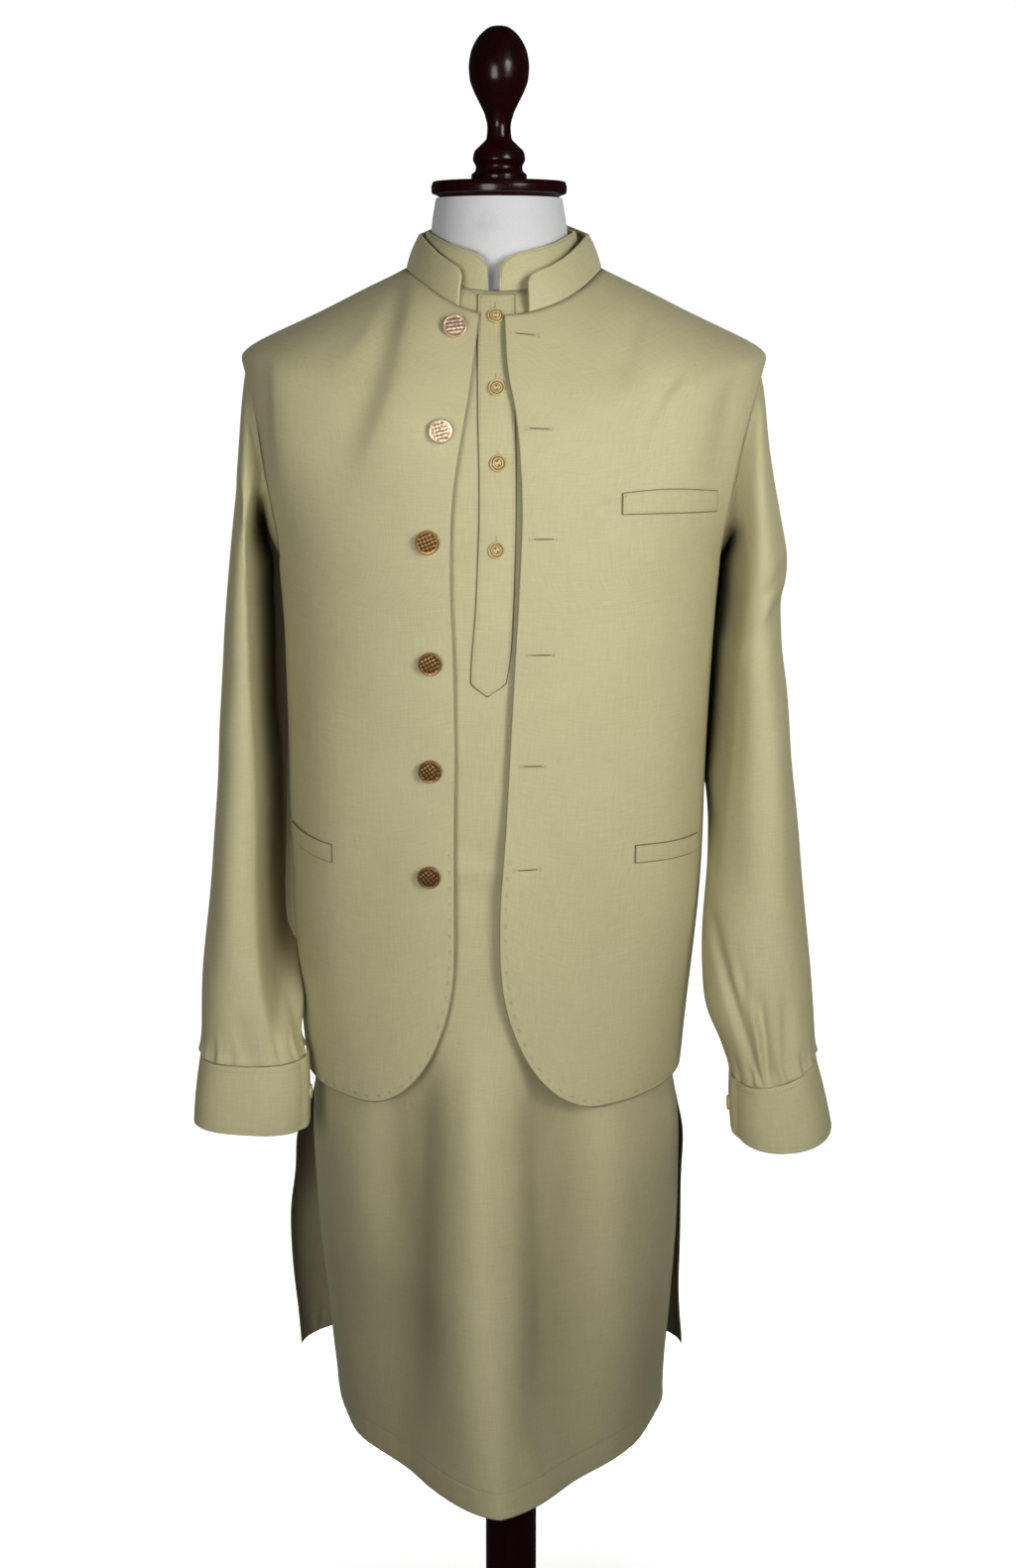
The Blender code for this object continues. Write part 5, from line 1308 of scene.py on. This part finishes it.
def woven_relief(x, y):
    """Small over-and-under strips, as on a woven leather button."""
    turn = math.radians(8)
    a = (x * math.cos(turn) + y * math.sin(turn)) / WOVEN_PITCH
    b = (-x * math.sin(turn) + y * math.cos(turn)) / WOVEN_PITCH
    over = (np.floor(a) + np.floor(b)) % 2
    fa, fb = a - np.floor(a) - 0.5, b - np.floor(b) - 0.5
    along, across = np.where(over > 0, fa, fb), np.where(over > 0, fb, fa)
    strip = np.sqrt(np.clip(1 - (across * 1.9) ** 2, 0, 1)) * (1 - 0.35 * (2 * along) ** 2)
    inside = ease((WOVEN_RADIUS - np.hypot(x, y)) / 0.0008)
    return RELIEF_DEPTH * (strip - 1) * inside


def holed_relief(x, y):
    """Two thread holes in a middle with grooves round it."""
    r = np.hypot(x, y)
    out = 0 * r
    for middle, width, depth in HORN_GROOVES:
        out = out - depth * np.exp(-(((r - middle) / width) ** 2))
    apart, radius, depth = HORN_HOLES
    for side in (-1, 1):
        gap = np.hypot(x, y - side * apart)
        out = out - depth * ease((radius - gap) / 0.0003)
    return out


def tube(name, path, radii, sides, mat, closed=False):
    """A thread along a path, with a radius at each of its points."""
    ahead = np.roll(path, -1, axis=0) - np.roll(path, 1, axis=0) if closed else np.gradient(path, axis=0)
    ahead = unit(ahead)
    side = unit(np.cross(ahead, np.tile([0.0, -1.0, 0.0], (len(path), 1))))
    up = np.cross(side, ahead)
    turns = round_turns(sides)
    ring = side[:, None] * np.cos(turns)[None, :, None] + up[:, None] * np.sin(turns)[None, :, None]
    points = (path[:, None] + ring * radii[:, None, None]).reshape(-1, 3)
    index = ring_index(len(path), sides)
    if closed:
        faces = quads_of(np.vstack([index, index[:1]])).tolist()
    else:
        faces = quads_of(index).tolist() + [index[0, :-1].tolist(), index[-1, -2::-1].tolist()]
    return make_mesh(name, points + [AXIS_X, 0, 0], faces, mat)


def build_buttonhole(name, seen, x, z, turn, length, width, lift):
    """A worked buttonhole: wrapped thread round a dark tube of painted shade in the slit, with a bar at each
    end.
    """
    ahead = np.array([math.cos(turn), math.sin(turn)])
    beside = np.array([-math.sin(turn), math.cos(turn)])
    half = length / 2
    bend = math.pi * width / 2
    along = np.linspace(0, 1, HOLE_POINTS, endpoint=False) * 2 * (length + bend)
    # one straight side, a half circle, the other side and the other half circle
    angle = np.clip((along - length) / bend, 0, 1) + np.clip((along - 2 * length - bend) / bend, 0, 1)
    a = np.clip(along, 0, length) - np.clip(along - length - bend, 0, length) - half
    a = a + width / 2 * np.sin(angle * math.pi)
    b = -width / 2 * np.cos(angle * math.pi)

    def path(along, across, height):
        spots = np.array([x, z]) + np.outer(along, ahead) + np.outer(across, beside)
        return np.array([seen.hit(i, j, height)[0] for i, j in spots])

    def wrapped(along, thin, swell, pitch):
        return thin + swell * np.abs(np.sin(along / pitch * math.pi))

    wraps = wrapped(along, *WRAPS)
    dress(tube(f"{name}_thread", path(a, b, lift), wraps, 8, LOOKS["thread"], closed=True), "khaki")
    ends = np.linspace(-half * 0.75, half * 0.75, 24)
    slim = width * 0.2 * np.sqrt(1 - (ends / half) ** 2)
    # a dark tube down the middle is painted shade in the slit
    dress(tube(f"{name}_slit", path(ends, 0 * ends, lift * 0.6), slim, 6, LOOKS["slit_shade"]), "khaki")
    reach = np.linspace(-width, width, 16)
    knots = wrapped(reach, *BAR_WRAPS)
    for k in (-1, 1):
        place = path(0 * reach + k * (half + 0.0008), reach, lift)
        dress(tube(f"{name}_bar_{k + 2}", place, knots, 8, LOOKS["thread"]), "khaki")


def stitched_line(name, seen, start, end, pitch, radius, lift):
    """A row of short stitches from one place to another, as one mesh of small grains."""
    start, end = np.array(start), np.array(end)
    count = max(2, int(np.linalg.norm(end - start) / pitch))
    points, faces = [], []
    for k in range(count):
        a = start + (end - start) * (k + 0.15) / count
        b = start + (end - start) * (k + 0.80) / count
        p, n = seen.hit(a[0], a[1], lift)
        q, _ = seen.hit(b[0], b[1], lift)
        along = unit(q - p)
        side = np.cross(along, n)
        base = len(points)
        for share, size in ((0.0, 0.3), (0.2, 1.0), (0.8, 1.0), (1.0, 0.3)):
            middle = p + (q - p) * share
            for turn in range(6):
                angle = turn * math.pi / 3
                points.append(middle + (side * math.cos(angle) + n * math.sin(angle)) * radius * size)
        for ring in range(3):
            for turn in range(6):
                after = (turn + 1) % 6
                low, high = base + ring * 6, base + ring * 6 + 6
                faces.append([low + turn, low + after, high + after, high + turn])
        faces.append([base + k for k in range(5, -1, -1)])
        faces.append([base + 18 + k for k in range(6)])
    piece = make_mesh(name, np.array(points) + [AXIS_X, 0, 0], faces, LOOKS["thread"])
    return dress(piece, "khaki")


def build_horn_button(node, place, normal, spin=0.0):
    piece = build_button(f"{node}_horn", HORN_BUTTON, holed_relief, "horn", place, normal, 0.0, spin)
    dress(piece, "horn", node)


def build_trim(waistcoat, placket):
    for k, (x, z) in enumerate(WAISTCOAT_BUTTONS):
        place, normal = waistcoat["right"].hit(x, z, WOVEN_LIFT)
        look = "copper" if k < COPPER_BUTTONS else "bronze"
        piece = build_button(f"waistcoat_button_{k + 1}_woven", WOVEN_BUTTON, woven_relief, look,
                             place, unit(normal + [0, -1, 0]), BUTTON_TILT[k], 0.12 * k)
        dress(piece, "bronze", f"waistcoat_button_{k + 1}")
    for k, (x, z) in enumerate(KURTA_BUTTONS):
        place, normal = placket.hit(x, z, HORN_LIFT)
        build_horn_button(f"kurta_button_{k + 1}", place, normal, 0.2 * k)
        hole_z = z + KURTA_HOLE_RISE
        build_buttonhole(f"kurta_buttonhole_{k + 1}", placket, x, hole_z, math.pi / 2, *KURTA_HOLE)
        bow = np.linspace(-1, 1, 12)
        thread = place + np.outer(0.0016 + 0.0005 * (1 - bow**2), normal) + np.outer(bow * 0.0011, [0, 0, 1])
        dress(tube(f"kurta_button_{k + 1}_thread", thread, np.full(12, 0.00030), 8, LOOKS["cotton"]), "horn")
    for k, (x, z, turn) in enumerate(BUTTONHOLES):
        build_buttonhole(f"waistcoat_buttonhole_{k + 1}", waistcoat["left"], x, z, turn, *WAISTCOAT_HOLE)
    stitched_line("placket_stitches", placket, *PLACKET_STITCHES, *PLACKET_STITCH)
    for side, sign in (("left", 1), ("right", -1)):
        place = cuff_ring(side, CUFF_BUTTON_SHARE, np.array([math.pi]))[0]
        place = place - [sign * (CUFF_STEP + 0.0004), 0, 0]
        build_horn_button(f"cuff_button_{side}", place, (-sign, 0.0, 0.0))


def math_node(tree, operation, *inputs):
    node = tree.nodes.new("ShaderNodeMath")
    node.operation = operation
    for k, value in enumerate(inputs):
        if isinstance(value, (int, float)):
            node.inputs[k].default_value = value
        else:
            tree.links.new(value, node.inputs[k])
    return node.outputs[0]


def times(tree, first, second):
    return math_node(tree, "MULTIPLY", first, second)


def minus(tree, first, second):
    return math_node(tree, "SUBTRACT", first, second)


def times_plus(tree, first, second, third):
    return math_node(tree, "MULTIPLY_ADD", first, second, third)


def link_to(node, **values):
    """Links outputs to a node's sockets, or sets the sockets to plain values."""
    for name, value in values.items():
        socket = node.inputs[name.replace("_", " ")]
        if isinstance(value, bpy.types.NodeSocket):
            node.id_data.links.new(value, socket)
        else:
            socket.default_value = value
    return node


def mix_colors(tree, share, first, second):
    node = tree.nodes.new("ShaderNodeMix")
    node.data_type = "RGBA"
    for socket, value in ((node.inputs[0], share), (node.inputs[6], first), (node.inputs[7], second)):
        if isinstance(value, (int, float)):
            socket.default_value = value
        elif isinstance(value, tuple):
            socket.default_value = (*value, 1.0)
        else:
            tree.links.new(value, socket)
    return node.outputs[2]


def noise(tree, vector, scale, detail=3.0, rough=0.5):
    node = tree.nodes.new("ShaderNodeTexNoise")
    return link_to(node, Vector=vector, Scale=scale, Detail=detail, Roughness=rough).outputs["Fac"]


def stretched(tree, vector, scale):
    return link_to(tree.nodes.new("ShaderNodeMapping"), Vector=vector, Scale=scale).outputs["Vector"]


def streaks(tree, vector, scale, detail=2.0, rough=0.5):
    """Noise drawn out along one way."""
    return noise(tree, stretched(tree, vector, scale), 1.0, detail, rough)


def new_look(name, roughness, specular=0.5, metallic=0.0, color=None):
    mat = bpy.data.materials.new(name)
    mat.use_nodes = True
    tree = mat.node_tree
    shader = link_to(tree.nodes["Principled BSDF"], Roughness=roughness, Specular_IOR_Level=specular,
                     Metallic=metallic)
    if color:
        shader.inputs["Base Color"].default_value = (*color, 1.0)
        mat.diffuse_color = (*color, 1.0)
    return mat, tree, shader


def uv_parts(tree, layer):
    node = tree.nodes.new("ShaderNodeUVMap")
    node.uv_map = layer
    split = tree.nodes.new("ShaderNodeSeparateXYZ")
    tree.links.new(node.outputs[0], split.inputs[0])
    return node.outputs[0], split.outputs[0], split.outputs[1]


def paint(tree, shader, share, dark, light):
    link_to(shader, Base_Color=mix_colors(tree, share, dark, light))


def bump(tree, shader, height, distance):
    node = link_to(tree.nodes.new("ShaderNodeBump"), Height=height, Distance=distance, Strength=1.0)
    link_to(shader, Normal=node.outputs[0])


def wave_of(tree, coordinate, pitch):
    """A wave from 0 to 1 along one coordinate in metres."""
    turned = times(tree, coordinate, 2 * math.pi / pitch)
    return times_plus(tree, math_node(tree, "SINE", turned), 0.5, 0.5)


def soft_band(tree, distance, middle, width):
    """1 on a line at a distance from an edge, falling to 0 either side of it."""
    away = math_node(tree, "ABSOLUTE", minus(tree, distance, middle))
    share = math_node(tree, "DIVIDE", away, width)
    return math_node(tree, "MAXIMUM", minus(tree, 1.0, share), 0.0)


def khaki_look(name, line, groove, stain_and_stitch_shade, rim, valley_shade):
    """Fine twill. line is a row of stitches: (distance from the edge, pitch, share, width, depth). Painted
    shade darkens the stitches, a line along the rim and the valleys.
    """
    mat, tree, shader = new_look(name, 0.62, 0.45)
    link_to(shader, Sheen_Weight=0.10, Sheen_Roughness=0.45, Sheen_Tint=(1.0, 0.97, 0.82, 1.0))
    weave, across, down = uv_parts(tree, "Weave")
    twill = wave_of(tree, math_node(tree, "ADD", across, down), TWILL_PITCH)
    warp = wave_of(tree, across, THREAD_PITCH)
    weft = wave_of(tree, down, THREAD_PITCH)
    slubs = [streaks(tree, weave, scale) for scale in ((1600, 90, 1), (90, 1600, 1))]
    cloud = noise(tree, weave, 14.0)
    threads = [streaks(tree, weave, scale) for scale in ((700, 45, 1), (45, 700, 1))]
    grain = times(tree, math_node(tree, "ADD", *slubs), 0.5)
    tone = times_plus(tree, grain, 0.6, times(tree, cloud, 0.30))
    tone = times_plus(tree, math_node(tree, "ADD", *threads), 0.45, minus(tree, tone, 0.42))
    tone = times_plus(tree, twill, 0.06, tone)
    color = mix_colors(tree, tone, KHAKI_DARK, KHAKI_LIGHT)
    height = times_plus(tree, twill, 0.25, times(tree, grain, 1.2))
    height = times_plus(tree, times(tree, warp, weft), 0.3, height)
    if line:
        middle, pitch, share, width, depth = line
        _, distance, place = uv_parts(tree, "Edge")
        band = soft_band(tree, distance, middle, width)
        dots = times(tree, minus(tree, wave_of(tree, place, pitch), 1 - share), 1 / share)
        dots = math_node(tree, "SQRT", math_node(tree, "MAXIMUM", dots, 0.0))
        mark = math_node(tree, "MINIMUM", times(tree, band, dots), 1.0)
        height = minus(tree, height, times(tree, mark, depth))
        # the stitches are darkened with painted shade
        color = mix_colors(tree, times(tree, mark, stain_and_stitch_shade), color, KHAKI_SHADE)
        if groove:
            sunk = soft_band(tree, distance, middle, width * 2.4)
            height = minus(tree, height, times(tree, sunk, groove))
    # a line of painted shade along the edge
    if rim:
        _, away, _ = uv_parts(tree, rim)
        band = soft_band(tree, away, 0.0, PAINTED_RIM_SHADE_WIDTH)
        color = mix_colors(tree, times(tree, band, 0.95), color, KHAKI_PAINTED_SHADE)
    # painted shade in the depth of valleys and troughs
    if valley_shade:
        _, depth, _ = uv_parts(tree, "PaintedShade")
        color = mix_colors(tree, times(tree, depth, PAINTED_VALLEY_SHADE), color, KHAKI_PAINTED_SHADE)
    link_to(shader, Base_Color=color)
    bump(tree, shader, height, 0.00006)
    mat.diffuse_color = (*KHAKI_LIGHT, 1.0)
    return mat


def object_places(tree):
    return tree.nodes.new("ShaderNodeTexCoord").outputs["Object"]


def thread_looks():
    for key, name, roughness, specular, scale, dark, light in (
        ("thread", "stitching_thread", 0.6, 0.3, 2600.0, (0.42, 0.37, 0.21), (0.68, 0.62, 0.40)),
        ("cotton", "cotton_thread", 0.6, 0.3, 2600.0, (0.62, 0.60, 0.52), (0.90, 0.88, 0.80)),
        # the slit's dark look is painted shade
        ("slit_shade", "buttonhole_slit_shade", 0.95, 0.1, 1500.0, (0.05, 0.045, 0.03), (0.12, 0.11, 0.07)),
    ):
        LOOKS[key], tree, shader = new_look(name, roughness, specular)
        paint(tree, shader, noise(tree, object_places(tree), scale, 2.0), dark, light)


def stand_looks():
    LOOKS["canvas"], tree, shader = new_look("form_canvas", 0.85, 0.25)
    link_to(shader, Sheen_Weight=0.1)
    places = object_places(tree)
    fine = noise(tree, places, 1400.0, 2.0)
    stain_and_stitch_shade = noise(tree, places, 22.0, 4.0, 0.6)
    spot = times(tree, math_node(tree, "MAXIMUM", minus(tree, stain_and_stitch_shade, 0.58), 0.0), 2.2)
    cotton = mix_colors(tree, fine, (0.60, 0.605, 0.63), (0.74, 0.745, 0.77))
    paint(tree, shader, spot, cotton, (0.36, 0.35, 0.35))
    bump(tree, shader, fine, 0.00012)

    LOOKS["wood"], tree, shader = new_look("mahogany_gloss", 0.30, 0.10)
    places = object_places(tree)
    grain = streaks(tree, places, (160, 160, 9), 5.0, 0.65)
    pores = streaks(tree, places, (900, 900, 60))
    paint(tree, shader, grain, (0.0006, 0.0002, 0.0002), (0.024, 0.0018, 0.0024))
    link_to(shader, Coat_Weight=0.32, Coat_Roughness=0.16, Roughness=times_plus(tree, pores, 0.20, 0.20))
    bump(tree, shader, math_node(tree, "ADD", grain, pores), 0.00008)


def button_looks():
    for key, dark, light in (
        ("bronze", (0.010, 0.004, 0.001), (0.340, 0.185, 0.065)),
        ("copper", (0.26, 0.16, 0.09), (0.78, 0.60, 0.42)),
    ):
        LOOKS[key], tree, shader = new_look(f"{key}_button", 0.36, 0.5, 0.75)
        wear = noise(tree, object_places(tree), 900.0)
        _, raised, _ = uv_parts(tree, "Relief")
        # raised strips are painted lighter and the gaps darker, a painted highlight and painted shade; the
        # noise adds wear
        paint(tree, shader, times_plus(tree, wear, 0.35, times_plus(tree, raised, 1.25, -0.45)), dark, light)
        bump(tree, shader, wear, 0.00005)

    LOOKS["horn"], tree, shader = new_look("horn_button", 0.28, 0.5)
    link_to(shader, Coat_Weight=0.4, Coat_Roughness=0.12)
    vein = streaks(tree, object_places(tree), (160, 60, 160), 4.0, 0.6)
    _, raised, _ = uv_parts(tree, "Relief")
    horn = mix_colors(tree, vein, (0.50, 0.36, 0.11), (0.80, 0.66, 0.32))
    # the grooves and holes are painted dark, as painted shade
    paint(tree, shader, raised, (0.10, 0.055, 0.015), horn)


def make_looks():
    # (distance from the edge, pitch, share, width, depth), groove, painted shade of the stitches, and the
    # layer along whose edge a line of painted shade runs
    for key, line, groove, stain_and_stitch_shade, rim in (
        ("plain", (), 0.0, 0.45, None),
        ("sleeve", (), 0.0, 0.45, None),
        ("hemmed", (STITCH_FROM_HEM, 0.0028, 0.62, 0.0006, 5.0), 3.0, 0.45, None),
        ("picked", (0.0050, 0.0140, 0.30, 0.0022, 8.0), 0.0, 0.22, "Rim"),
        ("stitched", (0.0052, 0.0024, 0.6, 0.0005, 4.0), 0.0, 0.45, None),
        ("topstitched", (0.0016, 0.0023, 0.62, 0.0005, 6.0), 4.0, 0.45, None),
        ("placket", (0.0026, 0.0023, 0.62, 0.0005, 6.0), 0.0, 0.45, "Edge"),
        ("welt", (0.0024, 0.0024, 0.55, 0.0004, 4.0), 0.0, 0.45, "Edge"),
    ):
        name = "khaki_twill" if key == "plain" else f"khaki_twill_{key}"
        valley_shade = key in ("sleeve", "hemmed")
        LOOKS[key] = khaki_look(name, line, groove, stain_and_stitch_shade, rim, valley_shade)
    thread_looks()
    stand_looks()
    button_looks()


def build_stage():
    """A pale floor that brightens away from the stand, inside a plain white dome."""
    white = (1.0, 1.0, 1.0, 1.0)
    mat, tree, shader = new_look("studio_floor", 0.8, 0.2, 0.0, FLOOR_COLOR)
    split = tree.nodes.new("ShaderNodeSeparateXYZ")
    tree.links.new(object_places(tree), split.inputs[0])
    square = times(tree, split.outputs[0], split.outputs[0])
    square = times_plus(tree, split.outputs[1], split.outputs[1], square)
    away = math_node(tree, "DIVIDE", math_node(tree, "SQRT", square), FLOOR_FADE)
    glow = math_node(tree, "MINIMUM", math_node(tree, "POWER", away, 2.0), 1.0)
    glow = times_plus(tree, glow, 1.0 - FLOOR_GLOW, FLOOR_GLOW)
    link_to(shader, Emission_Color=white, Emission_Strength=glow)
    turns = round_turns(DOME_SIDES)
    rim = np.stack([np.cos(turns), np.sin(turns), 0 * turns], axis=1) * DOME_RADIUS
    floor = make_mesh("studio_floor_disc", rim, [list(range(DOME_SIDES))], mat)

    mat, _, shader = new_look("studio_dome", 1.0, 0.0, 0.0, (0.8, 0.8, 0.8))
    link_to(shader, Emission_Color=white, Emission_Strength=1.0)
    rings = np.linspace(0, math.pi / 2, DOME_RINGS + 1)[:-1]
    grid = np.stack([np.cos(rings)[:, None] * np.cos(turns), np.cos(rings)[:, None] * np.sin(turns),
                     across_all(np.sin(rings), DOME_SIDES)], axis=-1) * DOME_RADIUS
    index = ring_index(DOME_RINGS, DOME_SIDES)
    faces = quads_of(index, True).tolist() + [index[-1, :-1].tolist()]
    dome = make_mesh("studio_dome_shell", grid.reshape(-1, 3), faces, mat)
    # both are there to be seen, and the lamps alone light the part
    for piece in (floor, dome):
        piece.visible_diffuse = False
        piece.visible_glossy = False
        piece.visible_shadow = False


def area_light(name, place, aim, size, spread_angle, watts, color):
    light = bpy.data.lights.new(name, "AREA")
    light.shape = "DISK"
    light.size = size
    light.spread = math.radians(spread_angle)
    light.energy = watts
    light.color = color
    made = bpy.data.objects.new(name, light)
    made.location = place
    made.visible_camera = False
    made.visible_glossy = name in ("key", "front")
    made.rotation_mode = "QUATERNION"
    made.rotation_quaternion = (Vector(aim) - Vector(place)).to_track_quat("-Z", "Y")
    bpy.context.scene.collection.objects.link(made)


def build_light():
    world = bpy.data.worlds.new("studio")
    world.use_nodes = True
    back = world.node_tree.nodes["Background"]
    back.inputs[0].default_value = (1.0, 1.0, 1.0, 1.0)
    back.inputs[1].default_value = WORLD_STRENGTH
    bpy.context.scene.world = world
    bpy.context.scene.view_settings.view_transform = "Standard"
    for row in LIGHTS:
        area_light(*row)


def build_camera():
    data = bpy.data.cameras.new("camera")
    data.lens = CAMERA_LENS
    data.sensor_width = 36.0
    camera = bpy.data.objects.new("camera", data)
    camera.location = CAMERA_PLACE
    camera.rotation_euler = (math.pi / 2 - CAMERA_PITCH, 0.0, 0.0)
    bpy.context.scene.collection.objects.link(camera)
    bpy.context.scene.camera = camera


def main():
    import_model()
    make_looks()
    build_stage()
    build_light()
    build_camera()
    build_form()
    build_wood()
    waistcoat = {}
    cloths = {}
    for side in ("right", "left"):
        cloths[f"waistcoat_{side}"], waistcoat[side] = build_waistcoat_front(side)
        cloths[f"sleeve_{side}"] = build_sleeve(side)
        cloths[f"cuff_{side}"], _ = build_cuff(side)
    cloths["kurta_front"], kurta = build_kurta_panel("front")
    cloths["kurta_back"], _ = build_kurta_panel("back")
    cloths["waistcoat_back"], _ = build_waistcoat_back()
    for name, faces, size, wall, look in (
        ("waistcoat_collar", WAISTCOAT, WAISTCOAT_COLLAR, WAISTCOAT_WALL, "plain"),
        ("kurta_collar", KURTA, KURTA_COLLAR, KURTA_WALL, "topstitched"),
    ):
        cloths[name], _ = build_collar(name, faces, size, wall, look)
    cloths["placket"], placket = build_placket(kurta)
    for name in WELTS:
        cloths[name], _ = build_welt(name, waistcoat["right" if name.endswith("right") else "left"])
    build_trim(waistcoat, placket)


main()
